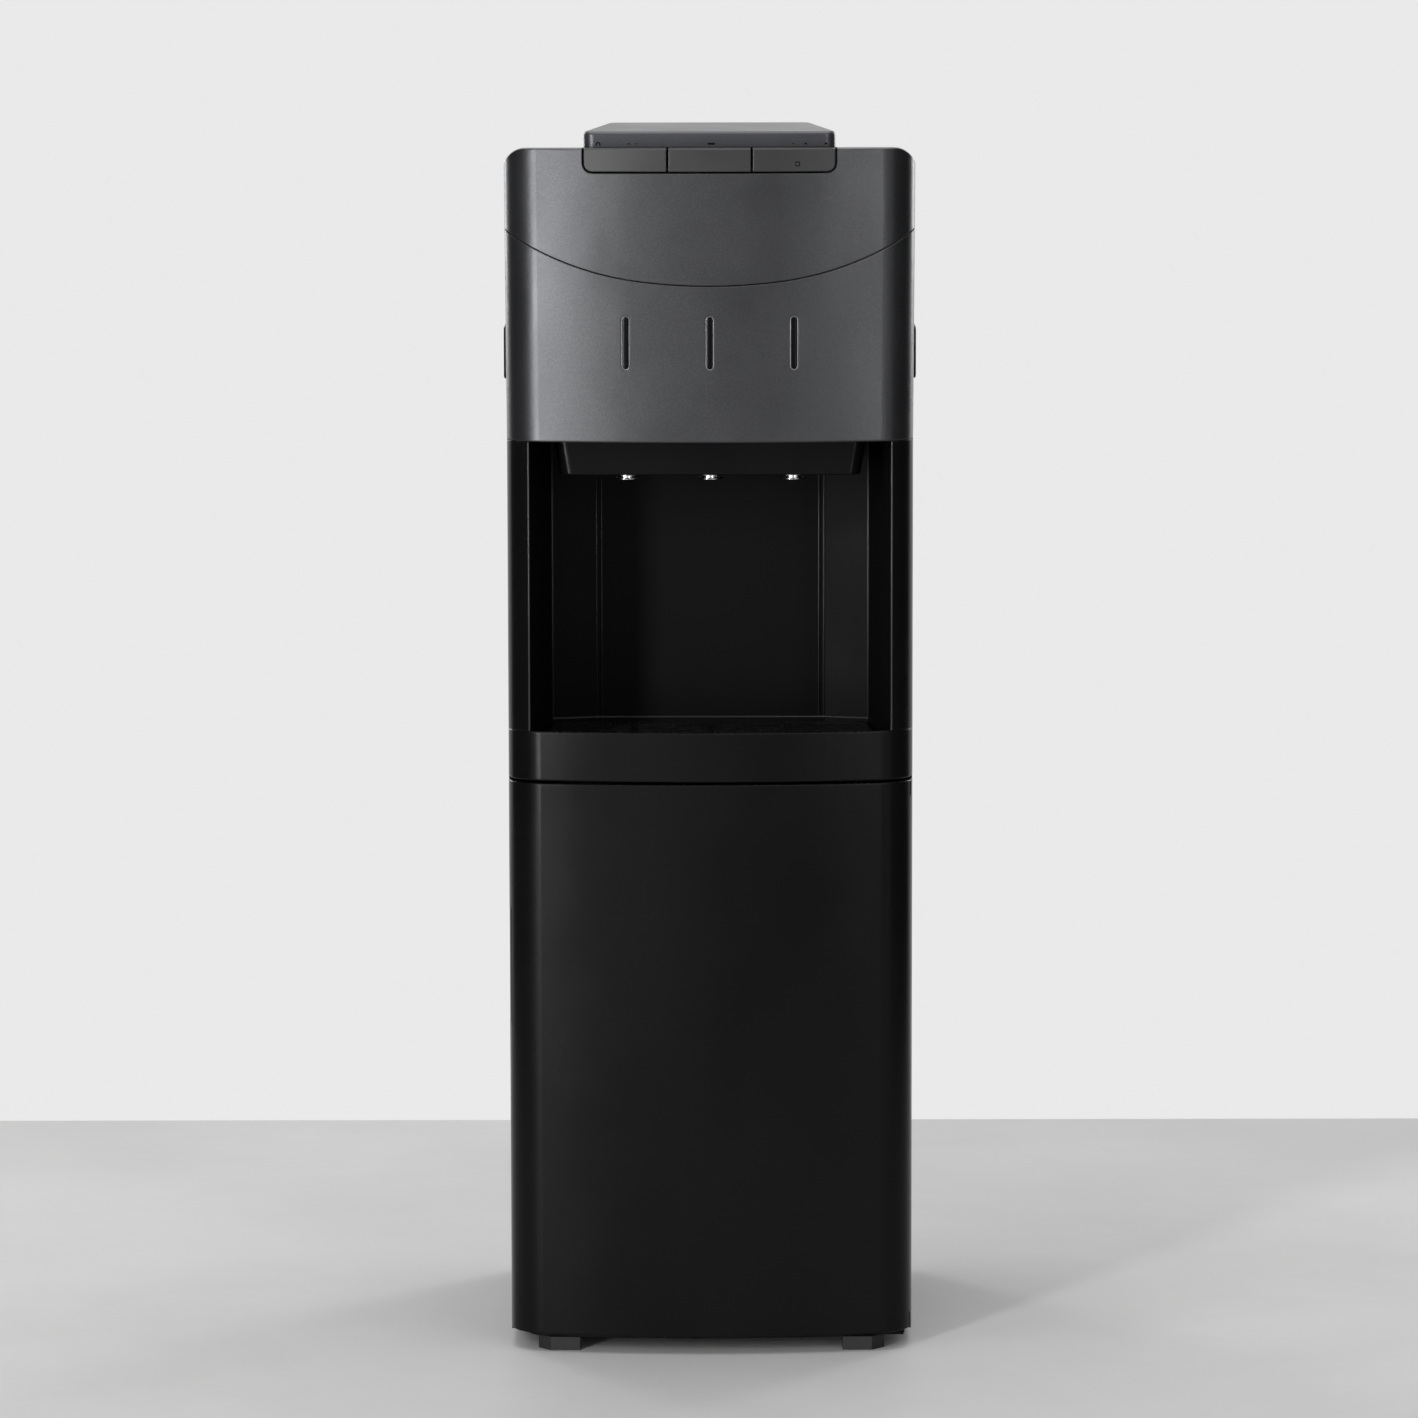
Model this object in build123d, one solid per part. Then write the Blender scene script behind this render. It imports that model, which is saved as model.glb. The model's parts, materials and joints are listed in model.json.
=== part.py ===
from build123d import *
import os
from math import cos, hypot, radians, sin, sqrt

# Bottom load water cooler. Millimetres, +Z up, front faces -Y, +X is the right side seen
# from the front. The origin is on the floor, at the middle of the whole outline.
# Name endings: R radius, W width, D depth, H height, L length, T thickness, X Y Z a place,
# UP and DOWN a height above or below what the comment names, IN a distance in from it.

# ================================================================ driving dimensions
# ---- outline
BODY_W = 343.0              # over the side panels
SHELL_DEPTH = 350.0         # front of the bow to the outside of the rear panel
CONDENSER_STAND = 20.0      # condenser, measured out from the rear panel
BOW_R = 780.0               # plan radius of the bowed front
CORNER_R = 34.0             # plan radius of the two front corners
FIT = 0.3                   # clearance between a piece and the seat that it drops into
RUN_FIT = 0.05              # radial clearance of a pin in its bore
OVER = 1.0                  # how far a cutting shape runs past what it cuts

# ---- heights, from the floor up
BASE_LIFT = 11.6            # underside of the base
DOOR_LIFT = 4.0             # door above the underside of the base
DOOR_H = 474.2
DOOR_GAP = 2.4              # between the door and the apron above it
APRON_H = 41.8
NICHE_H = 245.3
HEAD_H = 245.7

# ---- cabinet
PANEL_T = 1.2               # sheet steel of the sides and back
FLANGE_W = 14.0             # folded front edge of a side panel
DECK_T = 2.0
DECK_UP = 7.8               # top of the middle deck above the apron's lower edge
DECK_FLANGE_H = 16.0
BASE_T = 2.8
BASE_H = 22.4               # rim of the base
BASE_INSET = 12.0           # plate under the door, inside the bow
APRON_WALL = 5.0
APRON_EDGE_R = 1.4
APRON_FLOOR_T = 2.8
APRON_FLOOR_LAP = 20.0
APRON_FLOOR_BITE = 0.5      # the floor runs this far into the apron's skin
POST_W = 18.9
POST_WALL = 2.5

# ---- door
DOOR_FLANK = 3.2            # straight side of the door behind its round corner
DOOR_WALL = 3.0
DOOR_BACK_GAP = 4.0         # between the door and the cabinet behind it
DOOR_EDGE_R = 1.2
DOOR_BOSS_R = 4.0
DOOR_BOSS_IN = 51.5         # screw bosses, in from each side
DOOR_BOSS_LOW = 44.4        # and in from the bottom and the top of the door
DOOR_BOSS_HIGH = 49.8
DOOR_LINER_T = 1.6
LINER_RIB_XS = (-90.0, 0.0, 90.0)
LINER_RIB_W = 22.0
LINER_RIB_DEEP = 9.0
LINER_RIB_END = 30.0        # plain liner above and below its ribs
SCOOP_DOWN = 159.8          # middle of the finger scoop below the top of the door
SCOOP_H = 96.0
SCOOP_IN = 14.0
SCOOP_DEEP = 11.0
CATCH_IN = 66.5             # middle of the catch, in from the left side
CATCH_W = 44.0
CATCH_D = 16.0
CATCH_DOWN = 15.8           # middle of the strike plate below the top of the door
STRIKE_T = 1.5
STRIKE_H = 16.0

# ---- door hinges
HINGE_IN = 8.3              # axis, in from the side and from the back of the door
HINGE_PIN_R = 2.4
HINGE_PIN_L = 12.0
HINGE_PLATE_T = 2.4
HINGE_PLATE_L = 13.0
HINGE_PLATE_OUT = 1.4       # plate outside the axis
HINGE_PLATE_EDGE = 2.0      # plate before the pin
HINGE_BOSS_W = 13.0
HINGE_BOSS_END = 2.0        # boss past the end of the pin

# ---- niche
NICHE_TAPER = 15.2          # each side comes in this much from front to back
NICHE_DEPTH = 190.0         # front of the bow to the back corners of the niche
NICHE_FACET_W = 37.4        # angled facet beside the flat middle panel
NICHE_PANEL_SET = 11.0      # the middle panel lies this far behind the back corners
LINER_T = 2.4
GROOVE_W = 3.4
GROOVE_DEEP = 1.2
GROOVE_PAST = 11.0          # grooves run on behind the tray and the hood

# ---- spouts and their hood
STATION_PITCH = 70.5        # spouts, indicator windows and keys share one pitch
HOOD_SIDE_CLEAR = 4.9       # hood to the back corners of the niche
HOOD_TAPER = 5.0            # each side comes in this much downward
HOOD_SET_BACK = 60.0
HOOD_DEPTH = 68.0
HOOD_H = 30.0
HOOD_WALL = 3.0
HOOD_CORNER_R = 11.0
HOOD_EDGE_R = 1.6
SPOUT_SET_BACK = 88.0
SPOUT_R = 7.8
SPOUT_BORE_R = 4.0
SPOUT_DROP = 6.0
SPOUT_TIP_R = 1.6
SPOUT_FLANGE_R = 10.8
SPOUT_FLANGE_T = 3.0
SPOUT_TUBE_R = 5.5
SPOUT_TAIL_L = 14.0

# ---- valves
VALVE_UP = 20.7             # underside of the valves above the tank deck's underside
VALVE_HALF = 13.0
VALVE_H = 30.0
VALVE_BORE_DEEP = 18.0
COIL_R = 12.0
COIL_H = 28.0
COIL_NUT_R = 4.0
COIL_NUT_H = 4.0
VALVE_LINE_UP = 15.0        # outlet lines above the underside of the valves
BRACKET_FOOT_D = 14.0
BRACKET_END = 4.0           # bracket past the outer valves

# ---- drip tray and grille
TRAY_SIDE_CLEAR = 4.0
TRAY_BACK_CLEAR = 3.0
TRAY_H = 20.2
TRAY_WALL = 2.0
TRAY_LEDGE = 3.0
TRAY_RIM_R = 0.6
GRILLE_T = 2.6
GRILLE_SEAT_DROP = 0.4      # ledge below the underside of the grille
GRILLE_SLOT_W = 5.0
GRILLE_SLOT_PITCH = 11.0
GRILLE_CROSS_W = 6.0
GRILLE_BAY = 66.0           # slots between two cross bars
GRILLE_BAYS = 4
GRILLE_BORDER = 10.0
GRILLE_BORDER_FRONT = 22.0

# ---- head
FASCIA_FLARE = 1.5          # how much wider each side of the head is at its top
HEAD_WALL = 3.0
FASCIA_EDGE_R = 1.4
FASCIA_LIP = 10.0
FASCIA_LIP_IN = 5.0         # lip ends inside the posts
SEAM_DOWN_MID = 114.4       # curved seam below the top of the crown, at its middle
SEAM_DOWN_SIDE = 67.0       # and at the sides
SEAM_MID_R = 470.0
SEAM_MID_HALF = 60.0
SEAM_GAP = 1.0
SEAM_LAP = 8.0              # stock of either cover past the seam before it is cut
CROWN_REAR_DROP = 20.0      # the top slopes down to the back
CROWN_CORNER_R = 20.0       # top corners in the front view
CROWN_EDGE_R = 1.2
WINDOW_DOWN = 162.0         # middle of the light windows below the top of the crown
WINDOW_W = 7.5
WINDOW_H = 46.0
WINDOW_RECESS = 0.5

# ---- control board
BOARD_IN = 13.0             # front of the board behind the front of the bow
BOARD_T = 1.6
BOARD_PAST = 24.5           # board past the outer windows
BOARD_HALF_H = 28.0
BOARD_POST_R = 3.5
BOARD_POST_PAST = 17.5      # screw posts past the outer windows
BOARD_POST_UP = 22.0        # and above and below the middle of the windows
CHIP_XS, CHIP_UP, CHIP_T = (-36.0, -14.0), (-10.0, 8.0), 12.0
RELAY_XS, RELAY_UP, RELAY_T = (24.0, 52.0), (-16.0, 4.0), 16.0

# ---- keys, their pocket and axle
KEY_FRONT_H = 19.0
KEY_DEPTH = 34.0
KEY_GAP = 1.6
KEY_WALL = 2.5
KEY_END_R = 7.0
KEY_EDGE_R = 0.6
KEY_ARM_X = 20.0            # arms to each side of the middle of a key
KEY_ARM_W = 6.0
KEY_ARM_H = 6.0
KEY_ARM_ROOT = 14.0         # length of the thick root of an arm
KEY_ARM_CLEAR = 2.5         # outer arms to the walls of the pocket
KEY_PLUNGER_R = 3.0
KEY_AXLE_R = 2.0
KEY_AXLE_EYE = 3.0          # wall of the eye round the axle
KEY_AXLE_SET_BACK = 72.0
KEY_AXLE_DOWN = 11.0        # axle below the top of the crown
AXLE_IN_WALL = 2.0          # axle ends inside the pocket's walls
AXLE_END_FIT = 0.2
EAR_T = 4.0
EAR_HALF_D = 5.0
EAR_UP = 5.0                # ears above the axle
POCKET_DOWN = 29.0          # floor of the pocket below the top of the crown
POCKET_BEHIND_AXLE = 8.0
KEY_BOARD_CLEAR = 2.0       # board to the narrow walls of the pocket
KEY_BOARD_FRONT = 9.0       # board before and behind the domes
KEY_BOARD_REAR = 14.0
DOME_R = 5.5
DOME_TOP_R = 3.3
DOME_WALL = 1.0
DOME_ROOM_TOP_R = 2.2
DOME_TOP_T = 1.5
DOME_SET_BACK = 24.0
DOME_TOP_DOWN = 20.0        # top of the domes below the top of the crown

# ---- raised hood behind the keys
POD_FRONT_UP = 13.4         # its front edge above the top of the crown
POD_BACK_UP = 15.0
POD_DEPTH = 150.0
POD_BACK_NARROWER = 20.0
POD_WALL = 2.4
POD_CORNER_R = 9.0
POD_EDGE_R = 3.5
POD_SIDE_OUT = 1.3          # each side past the keys

# ---- side grips
GRIP_UP = 66.2              # middle of a grip above the underside of the head
GRIP_MID_Y = 8.0
GRIP_H = 45.0
GRIP_L = 118.0
GRIP_PROUD = 5.0
GRIP_CUP_DEEP = 24.0
GRIP_RIM = 5.0
GRIP_EDGE_R = 1.6
GRIP_WALL = 2.4

# ---- feet
FOOT_W = 36.0
FOOT_D = 34.0
FOOT_IN = 41.5              # middle of a foot, in from the side
FOOT_SET_BACK = 19.0
FOOT_CUT = 11.0             # chamfer of the outer front corner
FOOT_EDGE_R = 0.8
REAR_FOOT_R = 15.0
REAR_FOOT_IN = 28.0         # in from the rear panel

# ---- rear panel: vents, switches, drain, mains inlet, screws
VENT_LOW_UP = 54.4          # lower vents above the underside of the base
VENT_HIGH_UP = 30.0         # upper vents above the middle deck
VENT_ROWS = 6
VENT_HALF_W = 60.0
VENT_PITCH = 12.0
VENT_SLOT_H = 4.0
SWITCH_IN = 57.5            # middle of the switch plate, in from the left side
SWITCH_DOWN = 36.0          # below the seam's outer end
SWITCH_HALF_W = 28.0
SWITCH_HALF_H = 14.0
SWITCH_RIM = 4.0
SWITCH_RIM_T = 2.0
SWITCH_DEEP = 14.0
SWITCH_FLOOR_T = 2.0
SWITCH_EDGE_R = 0.8
ROCKER_PITCH = 28.0
ROCKER_W = 20.0
ROCKER_R = 11.0             # half height of a rocker
ROCKER_IN = 2.0             # pin behind the face of the rear panel
ROCKER_PROUD = 2.4
ROCKER_DEEP = 4.0
ROCKER_DISH_R = 60.0        # radius of its hollowed face
ROCKER_DISH_OUT = 60.6      # middle of that radius behind the rear panel
ROCKER_GAP = 0.4
ROCKER_PIN_R = 1.5
ROCKER_PIN_OUT = 1.6        # pin past each side of the rocker
ROCKER_THROW = 14.0         # degrees
DRAIN_IN = 23.5             # in from the right side
DRAIN_UP = 30.0             # above the middle deck
DRAIN_R = 11.0
DRAIN_TAIL_R = 7.0
DRAIN_PROUD = 8.0
DRAIN_DEEP = 20.0
DRAIN_FLANGE_R = 14.0
DRAIN_FLANGE_T = 2.0
CAP_R = 10.5
CAP_END_T = 4.0
CAP_RIBS = 16
CAP_GROOVE_R = 0.9
CAP_GROOVE_OUT = 10.9
INLET_IN = 51.5             # middle of the mains inlet, in from the right side
INLET_UP = 58.4             # above the underside of the base
INLET_HALF_W = 14.0
INLET_HALF_H = 10.0
INLET_WALL = 2.0
INLET_DEEP = 17.0
INLET_BACK_T = 2.0
INLET_EAR = 9.0
INLET_RIM = 3.0
INLET_RIM_T = 2.4
INLET_PIN_L = 10.0
INLET_PIN_HALF_W = 1.0
INLET_PIN_HALF_H = 2.0
INLET_PINS = ((-7.0, -1.0), (0.0, 2.0), (7.0, -1.0))
SCREW_IN = 8.0              # in from the inside of the side panels
SCREW_R = 3.6
SCREW_H = 2.2
SCREW_ROUND = 1.2
SCREW_SLOT_W = 1.0
SCREW_SLOT_L = 4.8
SCREW_SLOT_DEEP = 1.0
SCREWS_EACH = 3             # screws up each side, below and above the middle deck
SCREW_LOW_UP = 48.4         # lowest one above the underside of the base
SCREW_DECK_DOWN = 30.0      # below the middle deck
SCREW_DECK_UP = 60.0        # above the middle deck
SCREW_TOP_DOWN = 13.0       # top one below the seam's outer end

# ---- bottle bay
BOTTLE_R = 136.0            # a five gallon bottle is 272 across
CRADLE_CLEAR = 4.0
CRADLE_FRONT = 5.0          # seat circle behind the front of the side panels
CRADLE_FLOOR_T = 3.6
CRADLE_GUIDE_H = 12.0
CRADLE_GUIDE_FROM = 60.0    # corner guides start this far from the bottle's middle
PROBE_IN = 25.3             # in from the inside of the left panel
PROBE_SET_BACK = 27.0       # behind the front of the side panels
PROBE_DOWN = 62.0           # top of the parked probe below the middle deck
PROBE_R = 7.0
PROBE_L = 300.0
PROBE_CAP_R = 23.0
PROBE_CAP_H = 12.0
PROBE_CAP_ROUND = 3.0
PROBE_NIPPLE_L = 12.0
HOLDER_T = 4.0
HOLDER_HALF_D = 18.0
HOLDER_PAST = 16.0          # shelf past the middle of the probe
HOLDER_LEG_T = 3.0
HOLDER_LEG_H = 34.0
CLIP_UP = 60.0              # lower clip above the tip of the probe
CLIP_H = 10.0
CLIP_WALL = 4.0
HOSE_R = 5.0
HOSE_DOWN = 24.0            # hose below the middle deck
HOSE_SIDE_IN = 12.3         # in from the inside of the left panel
HOSE_LEAD = 40.0            # length over which it comes out to the side
HOSE_CLIP_HALF = 8.0
HOSE_CLIP_W = 8.0
SIDE_CLIP_Y = 40.0
REAR_CLIP_XS = (-70.0, 40.0)
HOSE_BENDS = (14.0, 30.0, 20.0, 20.0, 14.0)

# ---- tanks
COLD_X = -72.0
COLD_R = 52.0
COLD_H = 118.0
HOT_X = 84.0
HOT_R = 44.0
HOT_H = 104.0
TANK_IN = 99.0              # middle of both tanks, in from the rear panel
TANK_WALL = 1.5
TANK_ROUND = 5.0
FOAM_T = 15.0
LID_T = 6.0
LID_LAP = 2.0
LID_SPIGOT_H = 6.0
LID_SPIGOT_T = 2.0
HEATER_T = 4.0
HEATER_H = 32.0
THERMOSTAT_R, THERMOSTAT_H = 11.0, 8.0
THERMOSTAT_NUT_R, THERMOSTAT_NUT_H = 4.0, 6.0
LINK_UP = 23.7              # line between the tanks, above the tank deck

# ---- compressor, condenser and refrigerant lines
COMPRESSOR_X = -52.0
COMPRESSOR_IN = 75.0        # in from the rear panel
COMPRESSOR_R = 54.0
COMPRESSOR_H = 132.0
COMPRESSOR_ROUND = 26.0
COMPRESSOR_FOOT_X = 58.0
COMPRESSOR_FOOT_Y = 40.0
COMPRESSOR_FOOT_EDGE = 9.0
COMPRESSOR_FOOT_T = 3.0
COMPRESSOR_LIFT = 2.0       # shell above the underside of its foot plate
WELD_UP = 79.2              # weld flange above the underside of the foot plate
WELD_T = 4.0
WELD_PROUD = 2.0
TERMINAL_W, TERMINAL_HALF_D, TERMINAL_H = 20.0, 16.0, 36.0
TERMINAL_BITE = 8.0         # terminal box into the side of the shell
TERMINAL_UP = 30.0
GROMMET_R = 9.0
GROMMET_BORE_R = 3.0
GROMMET_H = 9.0
CONDENSER_UP = 85.0         # lowest run above the middle deck
CONDENSER_IN_UP = 140.0     # its inlet above the middle deck
CONDENSER_RUNS = 9
CONDENSER_PITCH = 36.0
CONDENSER_TURN_FLAT = 3.6   # straight part between the two bends of a turn
CONDENSER_SIDE_IN = 53.5    # runs, in from the sides
CONDENSER_RISER_OUT = 10.0  # riser outside the runs
CONDENSER_TUBE_R = 2.4
CONDENSER_HOLE_FIT = 1.0
CONDENSER_WIRE_R = 0.8
CONDENSER_WIRES = 21
CONDENSER_WIRE_IN = 20.0    # outer wires, in from the ends of the runs
CONDENSER_WIRE_PAST = 10.0  # wires past the lowest and highest runs
CONDENSER_TAB_HALF_W = 5.0
CONDENSER_TAB_HALF_H = 6.0
WELD_BITE = 0.3             # how deep the wires are pressed into the tube
LINE_R = 3.0
LINE_BEND = 12.0
INSIDE_LINE_IN = 15.0       # lines that run up just inside the rear panel
DISCHARGE_X = 20.0          # from the middle of the compressor
DISCHARGE_UP = 32.0
DISCHARGE_TURN_X = 60.0
DISCHARGE_TURN_INS = (53.0, 43.0)
SUCTION_X, SUCTION_Y = -28.0, 10.0      # from the middle of the compressor
LIQUID_IN = 47.0            # in from the rear panel
LIQUID_X, LIQUID_Y = -32.0, 44.0        # its upper end, from the middle of the cold tank
LIQUID_TURN_DOWNS = (44.3, 19.3)        # its bends below the tank deck
LIQUID_BEND = 9.0
DRIER_R = 9.0
DRIER_UP = (140.0, 220.0)   # ends of the filter drier above the middle deck
DRIER_ROUND = 5.0

# ---- pump and water lines
PUMP_X = 86.0
PUMP_IN = 61.0              # in from the rear panel
PUMP_R = 21.0
PUMP_L = 64.0
PUMP_ROUND = 4.0
PUMP_LIFT = 5.0
PUMP_STUB_IN = 6.0          # stubs, in from the ends of the pump
PUMP_STUB_H = 9.0
SADDLE_XS = (-18.0, 12.0)   # saddle ends from the middle of the pump
SADDLE_DOWN = 8.0
RISER_LEAD = 50.0
RISER_UP = 24.0             # top run above the lid of the cold tank
LID_LINE_X, LID_LINE_Y = 12.0, 34.0     # water inlet, from the middle of the lid
DRAIN_LINE_IN = 53.0        # in from the rear panel
DRAIN_TOP_X, DRAIN_TOP_Y = 32.0, 38.0   # its upper end, from the middle of the hot tank
DRAIN_TURN_DOWNS = (49.3, 21.3)         # its bends below the tank deck
DRAIN_LINE_R = 4.0
DRAIN_BEND = 10.0

# ---- wiring
LEAD_R = 3.0
LEAD_IN = 7.0               # in from the rear panel
LEAD_BEND = 16.0
MAINS_LEAD_X = 2.0          # from the middle of the mains inlet
TERMINAL_LEAD_X = 56.0      # from the middle of the compressor
TERMINAL_LEAD_UP = 18.0     # above the underside of the terminal box
SWITCH_LEAD_X = 62.0        # from the middle of the compressor
SWITCH_LEAD_Y = -10.0
SWITCH_LEAD_UP = 80.0       # its level run above the tank deck
RIBBON_HALF_W = 12.0
RIBBON_T = 1.0

# ================================================================ places worked out from them
HALF_W = BODY_W / 2
SIDE_IN = HALF_W - PANEL_T
TOTAL_DEPTH = SHELL_DEPTH + CONDENSER_STAND
FRONT_Y = -TOTAL_DEPTH / 2
REAR_Y = FRONT_Y + SHELL_DEPTH
REAR_IN_Y = REAR_Y - PANEL_T
BOW_Y = FRONT_Y + BOW_R
CORNER_Y = BOW_Y - sqrt((BOW_R - CORNER_R) ** 2 - (HALF_W - CORNER_R) ** 2)
DOOR_BACK_Y = CORNER_Y + DOOR_FLANK
SIDE_FRONT_Y = DOOR_BACK_Y + DOOR_BACK_GAP

BASE_BOTTOM_Z = BASE_LIFT
BASE_TOP_Z = BASE_BOTTOM_Z + BASE_T
BASE_RIM_Z = BASE_BOTTOM_Z + BASE_H
DOOR_BOTTOM_Z = BASE_BOTTOM_Z + DOOR_LIFT
DOOR_TOP_Z = DOOR_BOTTOM_Z + DOOR_H
APRON_BOTTOM_Z = DOOR_TOP_Z + DOOR_GAP
APRON_TOP_Z = APRON_BOTTOM_Z + APRON_H
DECK_TOP_Z = APRON_BOTTOM_Z + DECK_UP
DECK_BOTTOM_Z = DECK_TOP_Z - DECK_T
APRON_FLOOR_Z = DECK_BOTTOM_Z - APRON_FLOOR_T
HEAD_BOTTOM_Z = APRON_TOP_Z + NICHE_H
TANK_DECK_TOP_Z = HEAD_BOTTOM_Z + DECK_T
CROWN_TOP_Z = HEAD_BOTTOM_Z + HEAD_H
SEAM_MID_Z = CROWN_TOP_Z - SEAM_DOWN_MID
SEAM_SIDE_Z = CROWN_TOP_Z - SEAM_DOWN_SIDE
WINDOW_MID_Z = CROWN_TOP_Z - WINDOW_DOWN
SWITCH_MID_Z = SEAM_SIDE_Z - SWITCH_DOWN
GRIP_MID_Z = HEAD_BOTTOM_Z + GRIP_UP
SCOOP_MID_Z = DOOR_TOP_Z - SCOOP_DOWN
CATCH_Z = DOOR_TOP_Z - CATCH_DOWN

DOOR_BOSS_X = HALF_W - DOOR_BOSS_IN
DOOR_BOSS_ENDS = (DOOR_BOTTOM_Z + DOOR_BOSS_LOW, DOOR_TOP_Z - DOOR_BOSS_HIGH)
DOOR_BOSS_ZS = (DOOR_BOSS_ENDS[0], sum(DOOR_BOSS_ENDS) / 2, DOOR_BOSS_ENDS[1])
CATCH_XS = (-HALF_W + CATCH_IN - CATCH_W / 2, -HALF_W + CATCH_IN + CATCH_W / 2)
HINGE_X = HALF_W - HINGE_IN
HINGE_Y = DOOR_BACK_Y - HINGE_IN

NICHE_HALF_FRONT = HALF_W - POST_W
NICHE_HALF_BACK = NICHE_HALF_FRONT - NICHE_TAPER
NICHE_PANEL_HALF = NICHE_HALF_BACK - NICHE_FACET_W
NICHE_BACK_Y = FRONT_Y + NICHE_DEPTH
NICHE_PANEL_Y = NICHE_BACK_Y + NICHE_PANEL_SET
HOOD_TOP_W = 2 * (NICHE_HALF_BACK - HOOD_SIDE_CLEAR)
HOOD_BOTTOM_W = HOOD_TOP_W - 2 * HOOD_TAPER
HOOD_TOP_Z = HEAD_BOTTOM_Z - LINER_T
HOOD_BOTTOM_Z = HOOD_TOP_Z - HOOD_H
HOOD_FLOOR_Z = HOOD_BOTTOM_Z + HOOD_WALL
HOOD_FRONT_Y = FRONT_Y + HOOD_SET_BACK
SPOUT_Y = FRONT_Y + SPOUT_SET_BACK
SPOUT_TIP_Z = HOOD_BOTTOM_Z - SPOUT_DROP
SPOUT_TAIL_Z = HOOD_FLOOR_Z + SPOUT_TAIL_L
TRAY_BACK_Y = NICHE_BACK_Y - TRAY_BACK_CLEAR
TRAY_TOP_Z = DECK_TOP_Z + TRAY_H
VALVE_LOW_Z = HEAD_BOTTOM_Z + VALVE_UP
VALVE_LINE_Z = VALVE_LOW_Z + VALVE_LINE_UP
BRACKET_Y = SPOUT_Y + VALVE_HALF
TANK_DECK_FRONT_Y = BRACKET_Y + BRACKET_FOOT_D

BOARD_Y = FRONT_Y + BOARD_IN
KEY_BACK_Y = FRONT_Y + KEY_DEPTH
KEY_BOTTOM_Z = CROWN_TOP_Z - KEY_FRONT_H
KEY_GROUP_HALF = 1.5 * STATION_PITCH
AXLE_Y = FRONT_Y + KEY_AXLE_SET_BACK
AXLE_Z = CROWN_TOP_Z - KEY_AXLE_DOWN
AXLE_HALF = STATION_PITCH + KEY_ARM_X + KEY_ARM_W / 2 + KEY_ARM_CLEAR
AXLE_END_X = AXLE_HALF + AXLE_IN_WALL
POCKET_Z = CROWN_TOP_Z - POCKET_DOWN
POCKET_BACK_Y = AXLE_Y + POCKET_BEHIND_AXLE
DOME_Y = FRONT_Y + DOME_SET_BACK
DOME_TOP_Z = CROWN_TOP_Z - DOME_TOP_DOWN
KEY_BOARD_HALF = AXLE_HALF - KEY_BOARD_CLEAR

CRADLE_SEAT_Z = BASE_TOP_Z + CRADLE_FLOOR_T
CRADLE_TOP_Z = CRADLE_SEAT_Z + CRADLE_GUIDE_H
SEAT_R = BOTTLE_R + CRADLE_CLEAR
BOTTLE_Y = SIDE_FRONT_Y + CRADLE_FRONT + SEAT_R
PROBE_X = -SIDE_IN + PROBE_IN
PROBE_Y = SIDE_FRONT_Y + PROBE_SET_BACK
PROBE_TOP_Z = DECK_TOP_Z - PROBE_DOWN
HOSE_Z = DECK_TOP_Z - HOSE_DOWN
HOSE_SIDE_X = -SIDE_IN + HOSE_SIDE_IN

TANK_Y = REAR_Y - TANK_IN
FOAM_TOP_Z = TANK_DECK_TOP_Z + FOAM_T
COLD_RIM_Z = FOAM_TOP_Z + COLD_H
HOT_TOP_Z = FOAM_TOP_Z + HOT_H
LINK_Z = TANK_DECK_TOP_Z + LINK_UP
COMPRESSOR_Y = REAR_Y - COMPRESSOR_IN
COMPRESSOR_FOOT_Z = DECK_TOP_Z + GROMMET_H
COMPRESSOR_TOP_Z = COMPRESSOR_FOOT_Z + COMPRESSOR_H
TERMINAL_X = COMPRESSOR_X + COMPRESSOR_R - TERMINAL_BITE
TERMINAL_Z = COMPRESSOR_FOOT_Z + TERMINAL_UP
CONDENSER_HALF_W = HALF_W - CONDENSER_SIDE_IN
CONDENSER_RISER_X = CONDENSER_HALF_W + CONDENSER_RISER_OUT
CONDENSER_TURN_R = (CONDENSER_PITCH - CONDENSER_TURN_FLAT) / 2
CONDENSER_LOW_Z = DECK_TOP_Z + CONDENSER_UP
CONDENSER_IN_Z = DECK_TOP_Z + CONDENSER_IN_UP
CONDENSER_TOP_Z = CONDENSER_LOW_Z + (CONDENSER_RUNS - 1) * CONDENSER_PITCH
CONDENSER_TUBE_Y = REAR_Y + CONDENSER_STAND - 2 * CONDENSER_WIRE_R - CONDENSER_TUBE_R + WELD_BITE
INSIDE_LINE_Y = REAR_Y - INSIDE_LINE_IN
SUCTION_AT = (COMPRESSOR_X + SUCTION_X, COMPRESSOR_Y + SUCTION_Y)
LIQUID_AT = (COLD_X + LIQUID_X, TANK_Y + LIQUID_Y)
DRAIN_TOP_AT = (HOT_X + DRAIN_TOP_X, TANK_Y + DRAIN_TOP_Y)
PUMP_Y = REAR_Y - PUMP_IN
PUMP_MID_Z = DECK_TOP_Z + PUMP_R + PUMP_LIFT
PUMP_IN_X = PUMP_X + PUMP_L / 2 - PUMP_STUB_IN
PUMP_OUT_X = PUMP_X - PUMP_L / 2 + PUMP_STUB_IN
PUMP_OUT_Z = PUMP_MID_Z + PUMP_R + PUMP_STUB_H

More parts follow.
